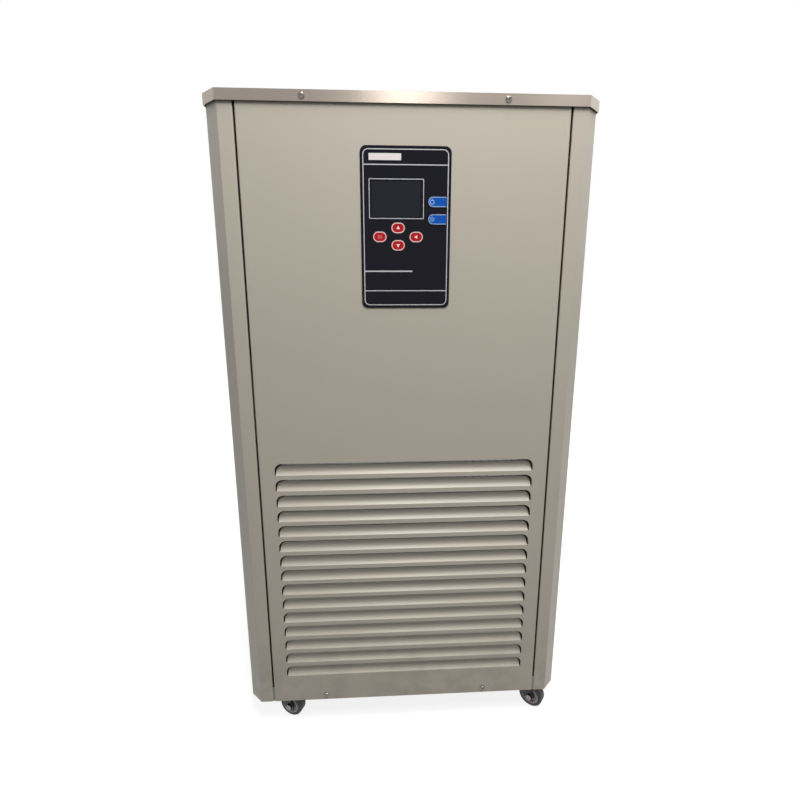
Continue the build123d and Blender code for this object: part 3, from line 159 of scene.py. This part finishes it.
class Finish:
    """One material: a colour that drifts slowly, with a fine grain in its gloss and relief."""

    def __init__(self, name, colour, roughness, metallic=0.0, drift=0.06, uneven=0.05,
                 relief=0.00002, scale=600.0, stretch=(1, 1, 1), specular=0.5):
        self.material = bpy.data.materials.new(name)
        self.material.use_nodes = True
        self.tree = self.material.node_tree
        self.shader = self.tree.nodes["Principled BSDF"]
        self.shader.inputs["Metallic"].default_value = metallic
        self.shader.inputs["Specular IOR Level"].default_value = specular
        self.grain = self.use(grain_group, Scale=scale, Stretch=stretch)
        light = [min(1.0, c * (1 + drift)) for c in colour[:3]]
        dark = [c * (1 - drift) for c in colour[:3]]
        self.colour = self.mix(self.grain.outputs["Broad"], (*dark, 1), (*light, 1))
        gloss = add_node(self.tree, "MapRange", {"To Min": max(0.0, roughness - uneven),
                                                 "To Max": min(1.0, roughness + uneven)})
        self.link(self.grain.outputs["Fine"], gloss.inputs["Value"])
        self.link(gloss.outputs["Result"], self.shader.inputs["Roughness"])
        self.relief = add_node(self.tree, "Bump", {"Distance": relief})
        self.link(self.grain.outputs["Fine"], self.relief.inputs["Height"])
        self.link(self.relief.outputs["Normal"], self.shader.inputs["Normal"])
        self.link(self.colour, self.shader.inputs["Base Color"])

    def link(self, source, target):
        """Links two sockets of this finish."""
        self.tree.links.new(source, target)

    def use(self, group, **values):
        """Places a shared node group with its own values."""
        node = add_node(self.tree, "Group")
        node.node_tree = group
        for label, value in values.items():
            node.inputs[label].default_value = value
        return node

    def mix(self, share, first, second):
        """Mixes two colours, each a value or a socket, by a share."""
        node = add_node(self.tree, "Mix")
        node.data_type = "RGBA"
        self.link(share, node.inputs[0])
        for value, socket in ((first, node.inputs[6]), (second, node.inputs[7])):
            if isinstance(value, tuple):
                socket.default_value = value
            else:
                self.link(value, socket)
        return node.outputs[2]

    def scaled(self, share, factor):
        """A mask made weaker or stronger."""
        node = add_node(self.tree, "Math", {1: factor}, operation="MULTIPLY")
        self.link(share, node.inputs[0])
        return node.outputs[0]

    def overlay(self, mask, colour, strength):
        """Lays another colour over the finish where the mask is."""
        self.colour = self.mix(self.scaled(mask, strength), self.colour, colour)
        self.link(self.colour, self.shader.inputs["Base Color"])


def dress(finish, *names):
    """Gives CAD nodes their finish."""
    for name in names:
        slots = nodes[name].data.materials
        slots.clear()
        slots.append(finish.material)


casing_paint = Finish("casing_paint", linear(183, 177, 165), 0.4, drift=0.03, uneven=0.08,
                      relief=0.00008, scale=620.0, specular=0.45)
# Painted highlight: the paint is lighter along its rounded edges, where light catches them.
paint_edge_highlight = casing_paint.use(edge_group, Width=0.0012)
casing_paint.overlay(paint_edge_highlight.outputs["Mask"], linear(206, 199, 188), 0.4)
# The paint is darker and browner in cloudy patches towards the bottom.
paint_low_darkening = casing_paint.use(dust_and_shade_group, Low=pan_z, High=pan_z + 0.16)
casing_paint.overlay(paint_low_darkening.outputs["Mask"], linear(122, 112, 98), 0.35)
# Painted shade: the paint turns near-black in the seams, the louvre slits and under the apron.
casing_crevice_shade = casing_paint.use(painted_crevice_shade_group, Reach=0.012)
casing_paint.overlay(casing_crevice_shade.outputs["Mask"], linear(38, 30, 27), 0.92)
dress(casing_paint, "left_side_shell", "right_side_shell", "front_panel", "rear_panel")

galvanised_steel = Finish("galvanised_steel", linear(112, 113, 114), 0.5, metallic=0.7, drift=0.2,
                          uneven=0.14, relief=0.00001, scale=140.0)
# Painted shade: the pan is darker in cloudy patches low down, where it shows in the seams.
pan_low_shade = galvanised_steel.use(dust_and_shade_group, Low=pan_z - 0.02, High=pan_z + 0.06)
galvanised_steel.overlay(pan_low_shade.outputs["Mask"], linear(96, 90, 82), 0.5)
# Painted shade: the pan turns near-black in seams and hollows.
pan_crevice_shade = galvanised_steel.use(painted_crevice_shade_group, Reach=0.03)
galvanised_steel.overlay(pan_crevice_shade.outputs["Mask"], linear(24, 22, 21), 0.95)
dress(galvanised_steel, "base_pan", "tank_shelf", "fan_shroud")

# Top cover. A tray of brushed stainless sheet, folded down to an apron all round and screwed
# through it at the front and the rear. The brushing runs from side to side, along the sheet.
brush_group, brush_in, brush_out = node_group(
    "brushing", [("Lines", "NodeSocketFloat", 460.0)], ["Streaks", "Smudges"])
brush_place = add_node(brush_group, "TexCoord")
brush_normal = add_node(brush_group, "NewGeometry")
brush_upright = add_node(brush_group, "SeparateXYZ")
brush_flat = add_node(brush_group, "Math", operation="ABSOLUTE")
brush_layers = []
for across in ("Z", "Y"):
    brush_density = add_node(brush_group, "CombineXYZ", {"X": 2.0, "Y": 2.0, "Z": 2.0})
    brush_scale = add_node(brush_group, "VectorMath", operation="MULTIPLY")
    brush_noise = add_node(brush_group, "TexNoise", {"Scale": 1.0, "Detail": 4.0})
    join(brush_group,
         (brush_in.outputs["Lines"], brush_density.inputs[across]),
         (brush_place.outputs["Object"], brush_scale.inputs[0]),
         (brush_density.outputs[0], brush_scale.inputs[1]),
         (brush_scale.outputs[0], brush_noise.inputs["Vector"]))
    brush_layers.append(brush_noise.outputs[0])
brush_pick = add_node(brush_group, "Mix")
brush_smudge = add_node(brush_group, "TexNoise", {"Scale": 5.0, "Detail": 2.0})
join(brush_group,
     (brush_normal.outputs["Normal"], brush_upright.inputs[0]),
     (brush_upright.outputs["Z"], brush_flat.inputs[0]),
     (brush_flat.outputs[0], brush_pick.inputs[0]),
     (brush_layers[0], brush_pick.inputs[2]),
     (brush_layers[1], brush_pick.inputs[3]),
     (brush_place.outputs["Object"], brush_smudge.inputs["Vector"]),
     (brush_pick.outputs[0], brush_out.inputs["Streaks"]),
     (brush_smudge.outputs[0], brush_out.inputs["Smudges"]))


def brushed(name, colour, roughness):
    """A brushed metal: fine streaks in its relief and tone, and faint smudges in its gloss."""
    metal = Finish(name, colour, roughness, metallic=1.0, drift=0.08)
    metal.shader.inputs["Anisotropic"].default_value = 0.75
    metal.shader.inputs["Anisotropic Rotation"].default_value = 0.25
    brush = metal.use(brush_group, Lines=460.0)
    streak = (*[c * 0.74 for c in colour[:3]], 1.0)
    metal.overlay(brush.outputs["Streaks"], streak, 0.5)
    gloss = add_node(metal.tree, "MapRange", {"From Min": 0.3, "From Max": 0.75,
                                              "To Min": roughness - 0.05,
                                              "To Max": roughness + 0.06})
    metal.link(brush.outputs["Smudges"], gloss.inputs["Value"])
    metal.link(gloss.outputs["Result"], metal.shader.inputs["Roughness"])
    metal.relief.inputs["Distance"].default_value = 0.00001
    metal.link(brush.outputs["Streaks"], metal.relief.inputs["Height"])
    return metal


stainless_steel = brushed("stainless_steel", linear(156, 146, 137), 0.28)
dress(stainless_steel, "top_cover", "reservoir_lid", "reservoir_tank", "temperature_probe")

# Casing screws. Plated pan-head machine screws with a cross recess, two in the apron and two
# along the pan at the front, and the same at the rear. The head is turned and then punched.
head_radius = 4.1 * mm
head_height = 2.6 * mm
recess_arm = 2.3 * mm
recess_width = 0.75 * mm
recess_depth = 1.5 * mm
recess_turn, recess_turn_step = 17, 31
apron_screw_x, apron_screw_drop = 128.3 * mm, 7.0 * mm
pan_screw_x, pan_screw_rise = 127.4 * mm, 8.6 * mm


def new_object(name, data):
    """Links a mesh, a lamp or a camera into the scene as an object at the origin."""
    piece = bpy.data.objects.new(name, data)
    bpy.context.scene.collection.objects.link(piece)
    return piece


def to_mesh(shape, name):
    """Turns a bmesh into a mesh with its doubles merged and its faces outwards."""
    bmesh.ops.remove_doubles(shape, verts=shape.verts[:], dist=1e-7)
    bmesh.ops.recalc_face_normals(shape, faces=shape.faces[:])
    mesh = bpy.data.meshes.new(name)
    shape.to_mesh(mesh)
    shape.free()
    return mesh


def add_mesh(shape, mesh, place):
    """Adds a copy of a mesh to a bmesh, moved to its place."""
    kept = set(shape.verts)
    shape.from_mesh(mesh)
    bmesh.ops.transform(shape, matrix=place, verts=[v for v in shape.verts if v not in kept])


def make_piece(name, shape, finish, body="cabinet"):
    """Finishes a piece: its mesh, its material and the body it rides on."""
    mesh = to_mesh(shape, name)
    mesh.materials.append(finish.material)
    piece = new_object(name, mesh)
    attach(piece, body)
    return piece


head = bmesh.new()
head_profile = [(0, 1), (0.5, 1), (0.82, 0.78), (0.97, 0.42), (1, 0), (0, 0)]
profile_verts = [head.verts.new((x * head_radius, 0, z * head_height)) for x, z in head_profile]
profile_edges = [head.edges.new(pair) for pair in zip(profile_verts, profile_verts[1:])]
bmesh.ops.spin(head, geom=profile_verts + profile_edges, cent=(0, 0, 0), axis=(0, 0, 1),
               angle=2 * pi, steps=36, use_merge=True)
head_object = new_object("screw_head", to_mesh(head, "screw_head"))
cross = bmesh.new()
for arm in ((2 * recess_arm, recess_width), (recess_width, 2 * recess_arm)):
    bmesh.ops.create_cube(cross, size=1, matrix=Matrix.LocRotScale(
        (0, 0, head_height), None, (*arm, 2 * recess_depth)))
cross_object = new_object("screw_cross", to_mesh(cross, "screw_cross"))
punch = head_object.modifiers.new("punch", "BOOLEAN")
punch.operation = "DIFFERENCE"
punch.solver = "EXACT"
punch.use_self = True
punch.object = cross_object
punched = head_object.evaluated_get(bpy.context.evaluated_depsgraph_get())
head_mesh = bpy.data.meshes.new_from_object(punched)
bpy.data.objects.remove(head_object)
bpy.data.objects.remove(cross_object)

screws = bmesh.new()
cover_low, cover_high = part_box("top_cover")
for sign in (-1, 1):
    seats = [(sign * apron_screw_x, cover_low.y, cover_high.z - apron_screw_drop, -1),
             (sign * pan_screw_x, front_y, pan_z + pan_screw_rise, -1),
             (sign * apron_screw_x, cover_high.y, cover_high.z - apron_screw_drop, 1),
             (sign * pan_screw_x, rear_y, pan_z + pan_screw_rise, 1)]
    for turn, (x, y, z, outward) in enumerate(seats):
        stand = Matrix.Translation((x, y, z)) @ Matrix.Rotation(-outward * pi / 2, 4, "X")
        recess = Matrix.Rotation(radians(recess_turn + recess_turn_step * turn * sign), 4, "Z")
        add_mesh(screws, head_mesh, stand @ recess)
bright_steel = Finish("bright_steel", linear(128, 122, 118), 0.22, metallic=1.0, drift=0.08,
                      uneven=0.08, relief=0.000004, scale=900.0)
screw_piece = make_piece("casing_screw_heads", screws, bright_steel)
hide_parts("casing_screws")

# Control panel. A screen-printed polyester film stuck on the front panel, with a clear window
# over the display. The white rules and frames are ink on the film. They and a painted highlight
# along the display's edge are thin plates here, in millimetres across from the middle and up from
# the pan's underside.
film_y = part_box("panel_overlay")[0].y
display_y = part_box("display_module")[0].y
ink_depth = 0.08
frame_half, frame_low, frame_high = 55.1, 628.3, 822.3
frame_corner, frame_line = 7.0, 1.1
rule_half = frame_half - 1.0
header_rule = (-rule_half, 803.1, rule_half, 804.3)
short_rule = (-rule_half, 671.7, 8.9, 673.4)
foot_rule = (-rule_half, 646.7, rule_half, 647.9)
window_frame = (-47.6, 738.4, 23.4, 787.1)
window_corner, window_line = 0.8, 0.9
strip_outline, strip_corner = (-47.3, 808.8, -6.1, 816.9), 0.5
display_highlight_outline = (19.2, 740.6, 19.8, 783.8)
film = Finish("overlay_film", linear(13, 14, 25), 0.14, drift=0.12, uneven=0.05, relief=0.000006,
              scale=60.0, specular=0.14)
dress(film, "panel_overlay")
glass = Finish("display_glass", linear(22, 26, 36), 0.05, drift=0.1, uneven=0.02, relief=0.0,
               scale=30.0, specular=0.18)
dress(glass, "display_module")
white_ink_and_highlight = Finish("white_ink_and_highlight", linear(196, 196, 202), 0.42, drift=0.03, uneven=0.06, scale=900.0)
ink_pale = Finish("ink_pale", linear(224, 216, 220), 0.48, drift=0.02, uneven=0.05, scale=900.0)


def panel_place(y):
    """Stands a flat shape, in millimetres from the pan's underside, on a plane that faces front."""
    return Matrix(((mm, 0, 0, 0), (0, 0, -mm, y), (0, mm, 0, pan_z), (0, 0, 0, 1)))


def keep_line(shape, line):
    """Opens a flat shape, so that only a line of that width is left along its outline."""
    ring = bmesh.ops.inset_region(shape, faces=shape.faces[:], thickness=line, use_boundary=True,
                                  use_even_offset=True)["faces"]
    bmesh.ops.delete(shape, geom=[f for f in shape.faces if f not in ring], context="FACES")


def flat_bar(x, z, length, width, turn=0.0):
    """A flat bar round a point, turned by an angle."""
    shape = bmesh.new()
    bmesh.ops.create_grid(shape, x_segments=1, y_segments=1, size=0.5,
                          matrix=Matrix.Translation((x, z, 0)) @ Matrix.Rotation(turn, 4, "Z")
                          @ Matrix.Diagonal((length, width, 1, 1)))
    return shape


def flat_shape(left, low, right, high, corner=0.0, line=0.0, rounded="both"):
    """A flat rectangle, rounded at its corners and opened to a line where those are given."""
    middle = (left + right) / 2
    shape = flat_bar(middle, (low + high) / 2, right - left, high - low)
    if corner:
        turned = [v for v in shape.verts if rounded == "both" or v.co.x < middle]
        bmesh.ops.bevel(shape, geom=turned, offset=corner, affect="VERTICES", segments=10,
                        profile=0.5, material=-1)
    if line:
        keep_line(shape, line)
    return shape


def flat_disc(x, z, radius, segments=24, line=0.0, turn=0.0):
    """A flat disc, ring or triangle round a point."""
    shape = bmesh.new()
    bmesh.ops.create_circle(shape, cap_ends=True, segments=segments, radius=radius,
                            matrix=Matrix.Translation((x, z, 0)) @ Matrix.Rotation(turn, 4, "Z"))
    if line:
        keep_line(shape, line)
    return shape


def add_plate(target, shape, depth, place):
    """Gives a flat shape a depth in millimetres and adds it to a piece, its back at a place."""
    made = bmesh.ops.extrude_face_region(shape, geom=shape.faces[:], use_keep_orig=True)
    front = [v for v in made["geom"] if isinstance(v, bmesh.types.BMVert)]
    bmesh.ops.translate(shape, vec=(0, 0, depth), verts=front)
    mesh = to_mesh(shape, "plate")
    add_mesh(target, mesh, place)
    bpy.data.meshes.remove(mesh)


rules = bmesh.new()
for flat in (flat_shape(-frame_half, frame_low, frame_half, frame_high, frame_corner, frame_line),
             flat_shape(*header_rule), flat_shape(*short_rule), flat_shape(*foot_rule),
             flat_shape(*window_frame, window_corner, window_line)):
    add_plate(rules, flat, ink_depth, panel_place(film_y))
make_piece("panel_rules", rules, white_ink_and_highlight)
strip = bmesh.new()
add_plate(strip, flat_shape(*strip_outline, strip_corner), ink_depth, panel_place(film_y))
make_piece("blank_strip", strip, ink_pale)
# Painted highlight: a thin white strip along the display's edge, where light catches it.
display_highlight = bmesh.new()
add_plate(display_highlight, flat_shape(*display_highlight_outline), ink_depth, panel_place(display_y))
make_piece("display_edge_highlight", display_highlight, white_ink_and_highlight)

# Keys. Moulded caps that stand proud of the film, the red ones with a white rim all round and
# the blue ones with a pale rim that runs into the frame line. Their signs are printed on the caps.
red_key = Finish("red_key", linear(176, 12, 24), 0.26, drift=0.08, uneven=0.05, relief=0.000008,
                 scale=500.0, specular=0.25)
blue_key = Finish("blue_key", linear(4, 82, 178), 0.28, drift=0.08, uneven=0.05, relief=0.000008,
                  scale=500.0, specular=0.2)
rim_red = Finish("red_key_rim", linear(232, 196, 198), 0.3, drift=0.03, uneven=0.05, scale=700.0)
rim_blue = Finish("blue_key_rim", linear(150, 176, 214), 0.3, drift=0.03, uneven=0.05, scale=700.0)
sign_white = Finish("sign_white", linear(236, 228, 230), 0.4, drift=0.02, uneven=0.05, scale=700.0)
sign_pink = Finish("sign_pink", linear(216, 120, 124), 0.4, drift=0.04, uneven=0.05, scale=700.0)
sign_blue = Finish("sign_blue", linear(156, 202, 240), 0.4, drift=0.04, uneven=0.05, scale=700.0)
rim_depth = 0.5
rim_proud = 0.05 * mm
red_cap_half, red_rim_line = (8.7, 6.55), 1.2
blue_cap_half, blue_rim_line = (11.9, 6.2), 1.0
end_flat = 0.02
sign_depth = 0.06
arrow_radius = 2.7
arrow_turns = {"key_up": 0.0, "key_down": pi, "key_shift": pi / 2}
list_half = (2.6, 2.2)
list_line = 0.5
list_row_length = 3.0
list_row_heights = (0.8, -0.6)
blue_sign_shift = 7.0
loop_radius, loop_line, loop_drop = 2.9, 0.8, 0.4
stem_width, stem_length, stem_rise = 0.8, 2.6, 2.4
flake_arm = (6.4, 1.0)
flake_core_radius = 1.3


def key_centre(name):
    """Middle of a key's face in millimetres: across, and up from the pan's underside."""
    low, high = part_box(name)
    return (low.x + high.x) / 2 / mm, ((low.z + high.z) / 2 - pan_z) / mm


def cap_rim(x, z, cap_half, line, rounded="both"):
    """The rim of a key's cap, with its ends turned to half circles."""
    return flat_shape(x - cap_half[0], z - cap_half[1], x + cap_half[0], z + cap_half[1],
                      cap_half[1] - end_flat, line, rounded)


def list_sign(x, z):
    """The sign of the set key: a framed list."""
    border = flat_shape(x - list_half[0], z - list_half[1], x + list_half[0], z + list_half[1],
                        line=list_line)
    rows = [flat_bar(x, z + rise, list_row_length, list_line) for rise in list_row_heights]
    return [border] + rows


def loop_sign(x, z):
    """The sign of the circulate key: a ring with a stem through its top."""
    return [flat_disc(x, z - loop_drop, loop_radius, line=loop_line),
            flat_bar(x, z + stem_rise, stem_width, stem_length)]


def flake_sign(x, z):
    """The sign of the cool key: a snowflake of three bars with a solid core."""
    bars = [flat_bar(x, z, *flake_arm, turn=radians(30 + 60 * bar)) for bar in range(3)]
    return bars + [flat_disc(x, z, flake_core_radius, segments=6)]


def finish_key(name, cap, outline, rim_finish, signs, ink):
    """Dresses a key and makes its rim and its sign, which ride on the cap."""
    face_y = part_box(name)[0].y
    dress(cap, name)
    rim = bmesh.new()
    add_plate(rim, outline, rim_depth, panel_place(face_y - rim_proud + rim_depth * mm))
    make_piece(name + "_rim", rim, rim_finish, body=name + "_cap")
    sign = bmesh.new()
    for flat in signs:
        add_plate(sign, flat, sign_depth, panel_place(face_y))
    make_piece(name + "_sign", sign, ink, body=name + "_cap")


for name in ("key_up", "key_down", "key_shift", "key_set"):
    x, z = key_centre(name)
    if name in arrow_turns:
        signs = [flat_disc(x, z, arrow_radius, segments=3, turn=arrow_turns[name])]
        ink = sign_white
    else:
        signs = list_sign(x, z)
        ink = sign_pink
    finish_key(name, red_key, cap_rim(x, z, red_cap_half, red_rim_line), rim_red, signs, ink)

for name, draw_sign in (("key_circulate", loop_sign), ("key_cool", flake_sign)):
    x, z = key_centre(name)
    outline = cap_rim(x, z, blue_cap_half, blue_rim_line, rounded="left")
    bmesh.ops.bisect_plane(outline, geom=outline.verts[:] + outline.edges[:] + outline.faces[:],
                           plane_co=(x + blue_cap_half[0] - blue_rim_line, 0, 0),
                           plane_no=(1, 0, 0), clear_outer=True)
    finish_key(name, blue_key, outline, rim_blue, draw_sign(x - blue_sign_shift, z), sign_blue)

# Control board. A green circuit board on spacers behind the front panel, with the switches that
# the keys press. It shows only through gaps.
board_mask = Finish("circuit_board", linear(18, 84, 44), 0.38, drift=0.2, uneven=0.1, scale=420.0)
dress(board_mask, "control_board")

# Reservoir. The lid's knob is a turned phenolic ball grip. Inside hang the tank in its foam
# jacket, the copper evaporator coil and the probe.
knob_black = Finish("black_knob", linear(20, 20, 21), 0.14, drift=0.1, uneven=0.05, scale=300.0)
dress(knob_black, "lid_knob")
foam_jacket = Finish("foam_jacket", linear(34, 34, 35), 0.92, drift=0.25, uneven=0.06,
                     relief=0.0003, scale=420.0)
dress(foam_jacket, "tank_insulation")
copper_tube = Finish("copper_tube", linear(196, 116, 80), 0.3, metallic=1.0, drift=0.18,
                     uneven=0.12, relief=0.00001, scale=220.0)
dress(copper_tube, "evaporator_coil", "refrigerant_pipes", "filter_drier")

# Refrigeration. The finned condenser behind the louvres, its fan in a galvanised shroud, and
# the compressor with its black enamel on rubber feet.
aluminium_fins = Finish("aluminium_fins", linear(178, 180, 182), 0.36, metallic=1.0, drift=0.14,
                        uneven=0.1, relief=0.00008, scale=300.0, stretch=(1, 1, 0.02))
dress(aluminium_fins, "condenser_coil", "fan_blade")
black_paint = Finish("black_paint", linear(26, 26, 27), 0.36, drift=0.12, uneven=0.1,
                     relief=0.00004, scale=500.0)
dress(black_paint, "compressor", "fan_motor")
black_rubber = Finish("black_rubber", linear(27, 27, 27), 0.75, drift=0.15, relief=0.00003,
                      scale=700.0)
dress(black_rubber, "compressor_feet")

# Circulation. A cast pump with a painted motor, and black reinforced hoses.
cast_pump = Finish("cast_pump", linear(82, 84, 88), 0.55, metallic=0.4, drift=0.15, uneven=0.12,
                   relief=0.00025, scale=380.0)
dress(cast_pump, "pump_housing")
motor_paint = Finish("motor_paint", linear(46, 60, 84), 0.4, drift=0.1, uneven=0.08,
                     relief=0.00005, scale=420.0)
dress(motor_paint, "pump_motor")
hose_rubber = Finish("hose_rubber", linear(30, 30, 31), 0.6, drift=0.14, uneven=0.1,
                     relief=0.00005, scale=520.0)
dress(hose_rubber, "suction_hose", "delivery_hose", "return_hose")

# Rear fittings. Turned stainless hose nozzles, a brass drain valve with a plated lever, the
# moulded cable gland and the mains switch, whose rocker carries its two marks in white print.
dress(bright_steel, "outlet_nozzle", "inlet_nozzle", "drain_valve_lever")
valve_brass = Finish("valve_brass", linear(196, 160, 96), 0.28, metallic=1.0, drift=0.12,
                     uneven=0.1, relief=0.00001, scale=600.0)
dress(valve_brass, "drain_valve_body")
black_plastic = Finish("black_plastic", linear(28, 28, 29), 0.5, drift=0.1, uneven=0.08,
                       relief=0.00004, scale=900.0)
dress(black_plastic, "cord_gland", "mains_switch_body")
rocker_plastic = Finish("rocker_plastic", linear(24, 24, 25), 0.24, drift=0.1, uneven=0.05,
                        scale=600.0)
dress(rocker_plastic, "mains_switch_rocker")
rocker_rest = radians(10)
rocker_pivot = Vector(next(j["pos_m"] for j in frame["record"]["behaviour"]["joints"]
                           if j["name"] == "rocker_tilt"))
mark_reach, mark_rise = 7.15 * mm, 6.5 * mm
bar_width, bar_length = 0.7, 4.8
ring_radius, ring_line = 2.5, 0.6
face_rear = Matrix(((-mm, 0, 0, 0), (0, 0, mm, 0), (0, mm, 0, 0), (0, 0, 0, 1)))
marks = bmesh.new()
for side, flat in ((1, flat_bar(0, 0, bar_width, bar_length)),
                   (-1, flat_disc(0, 0, ring_radius, line=ring_line))):
    seat = Matrix.Rotation(-rocker_rest, 3, "X") @ Vector((0, mark_reach, side * mark_rise))
    tilt = Matrix.Rotation(-rocker_rest * (1 + side), 4, "X")
    add_plate(marks, flat, ink_depth, Matrix.Translation(rocker_pivot + seat) @ tilt @ face_rear)
make_piece("rocker_marks", marks, sign_white, body="rocker")

# Casters. Pressed forks with a dark plating that turn in a ball race under a riveted plate, and
# moulded wheels: a black tyre round a grey core, on a plain steel axle bolt.
fork_steel = Finish("fork_steel", linear(22, 22, 23), 0.36, metallic=0.2, drift=0.12, uneven=0.1,
                    relief=0.00002, scale=500.0)
fork_edges = fork_steel.use(edge_group, Width=0.0008)
fork_steel.overlay(fork_edges.outputs["Mask"], linear(92, 90, 88), 0.35)
wheel_core = Finish("wheel_core", linear(176, 170, 174), 0.34, drift=0.08, uneven=0.06,
                    relief=0.00001, scale=500.0)
wheel_tyre = Finish("wheel_tyre", linear(14, 14, 15), 0.5, drift=0.15, uneven=0.1,
                    relief=0.00003, scale=700.0)
tyre_dust = wheel_tyre.use(dust_and_shade_group, Low=0.0, High=0.03)
wheel_tyre.overlay(tyre_dust.outputs["Mask"], linear(70, 66, 62), 0.25)
dress(bright_steel, "caster_plates")
for corner in ("front_left", "front_right", "rear_left", "rear_right"):
    dress(fork_steel, "fork_" + corner)
    dress(bright_steel, "axle_" + corner)
    dress(wheel_core, "hub_" + corner)
    dress(wheel_tyre, "tyre_" + corner)

# Studio. A pale floor that keeps the shadow, and a white surround. Two tubes hang above the front,
# with a soft lamp at each side and one behind. The camera stands where the photograph was taken.


def light_path_share(tree):
    """One where the ray comes from the camera, a reflection or clear glass, else nought."""
    path = add_node(tree, "LightPath")
    share = path.outputs["Is Camera Ray"]
    for label in ("Is Glossy Ray", "Is Transmission Ray"):
        step = add_node(tree, "Math", operation="MAXIMUM")
        join(tree, (share, step.inputs[0]), (path.outputs[label], step.inputs[1]))
        share = step.outputs[0]
    return share


world = bpy.data.worlds.new("studio")
bpy.context.scene.world = world
world.use_nodes = True
world_tree = world.node_tree
surround = world_tree.nodes["Background"]
surround.inputs["Color"].default_value = (0.98, 0.99, 1.0, 1)
surround.inputs["Strength"].default_value = 0.12
white = add_node(world_tree, "Background", {"Color": (1, 1, 1, 1), "Strength": 1.0})
either = add_node(world_tree, "MixShader")
join(world_tree,
     (light_path_share(world_tree), either.inputs[0]),
     (surround.outputs[0], either.inputs[1]),
     (white.outputs[0], either.inputs[2]),
     (either.outputs[0], world_tree.nodes["World Output"].inputs["Surface"]))

floor_shape = bmesh.new()
bmesh.ops.create_grid(floor_shape, x_segments=1, y_segments=1, size=12)
floor = new_object("studio_floor", to_mesh(floor_shape, "studio_floor"))
floor_material = bpy.data.materials.new("studio_floor")
floor_material.use_nodes = True
floor_tree = floor_material.node_tree
floor_shader = floor_tree.nodes["Principled BSDF"]
floor_shader.inputs["Base Color"].default_value = (0.35, 0.35, 0.35, 1)
floor_shader.inputs["Roughness"].default_value = 0.9
floor_shader.inputs["Specular IOR Level"].default_value = 0.0
floor_glow = add_node(floor_tree, "Emission")
floor_place = add_node(floor_tree, "TexCoord")
floor_away = add_node(floor_tree, "VectorMath", operation="LENGTH")
# Painted light: the floor glows for the camera and in reflections. The glow is weaker near the
# cabinet and stronger far off, so the floor is painted a shade darker round the cabinet, where its
# shadow shows.
floor_range = add_node(floor_tree, "MapRange", {"From Min": 0.4, "From Max": 1.6,
                                                "To Min": 0.84, "To Max": 0.98})
join(floor_tree,
     (floor_place.outputs["Object"], floor_away.inputs[0]),
     (floor_away.outputs["Value"], floor_range.inputs["Value"]),
     (floor_range.outputs["Result"], floor_glow.inputs["Strength"]))
floor_dark = add_node(floor_tree, "Emission", {"Strength": 0.0})
floor_pick = add_node(floor_tree, "MixShader")
floor_sum = add_node(floor_tree, "AddShader")
join(floor_tree,
     (light_path_share(floor_tree), floor_pick.inputs[0]),
     (floor_dark.outputs[0], floor_pick.inputs[1]),
     (floor_glow.outputs[0], floor_pick.inputs[2]),
     (floor_shader.outputs[0], floor_sum.inputs[0]),
     (floor_pick.outputs[0], floor_sum.inputs[1]),
     (floor_sum.outputs[0], floor_tree.nodes["Material Output"].inputs["Surface"]))
floor.data.materials.append(floor_material)


def soft_lamp(name, place, aim, width, length, power, colour):
    """A rectangular area lamp at a place, turned towards the spot that it lights."""
    lamp = bpy.data.lights.new(name, "AREA")
    lamp.shape = "RECTANGLE"
    lamp.size = width
    lamp.size_y = length
    lamp.energy = power
    lamp.color = colour
    holder = new_object(name, lamp)
    holder.location = place
    holder.rotation_euler = (Vector(aim) - Vector(place)).to_track_quat("-Z", "Y").to_euler()


soft_lamp("middle_tube", place=(0.07, front_y - 0.6, 1.9), aim=(0.07, front_y - 0.05, 0.5),
          width=0.1, length=1.1, power=24.0, colour=(1.0, 0.98, 0.95))
soft_lamp("right_lamp", place=(0.61, front_y - 0.6, 1.85), aim=(0.5, front_y - 0.1, 0.6),
          width=0.1, length=0.3, power=6.0, colour=(1.0, 0.97, 0.93))
soft_lamp("side_lamp", place=(2.3, front_y + 0.3, 1.5), aim=(0.25, 0.1, 0.6),
          width=1.4, length=1.4, power=6.0, colour=(1.0, 0.97, 0.94))
soft_lamp("rear_lamp", place=(0.5, rear_y + 1.6, 2.1), aim=(0.0, rear_y, 0.5),
          width=1.8, length=1.8, power=38.0, colour=(1.0, 0.98, 0.95))
soft_lamp("left_lamp", place=(-2.0, 1.3, 1.6), aim=(-0.25, 0.1, 0.5),
          width=1.6, length=1.6, power=16.0, colour=(1.0, 0.98, 0.95))

camera_data = bpy.data.cameras.new("camera")
camera_data.sensor_width = 36.0
camera_data.lens = 21.90
camera_data.clip_start = 0.01
camera_data.clip_end = 60.0
camera_place = (-0.04463, front_y - 0.66923, pan_z + 0.64910)
camera_turn = Matrix(((0.99848, 0.01345, -0.05350), (-0.05515, 0.22132, -0.97364),
                      (-0.00125, 0.97511, 0.22172)))
camera = new_object("camera", camera_data)
camera.matrix_world = Matrix.LocRotScale(camera_place, camera_turn.to_quaternion(), None)
bpy.context.scene.camera = camera
bpy.context.scene.view_settings.view_transform = "Standard"
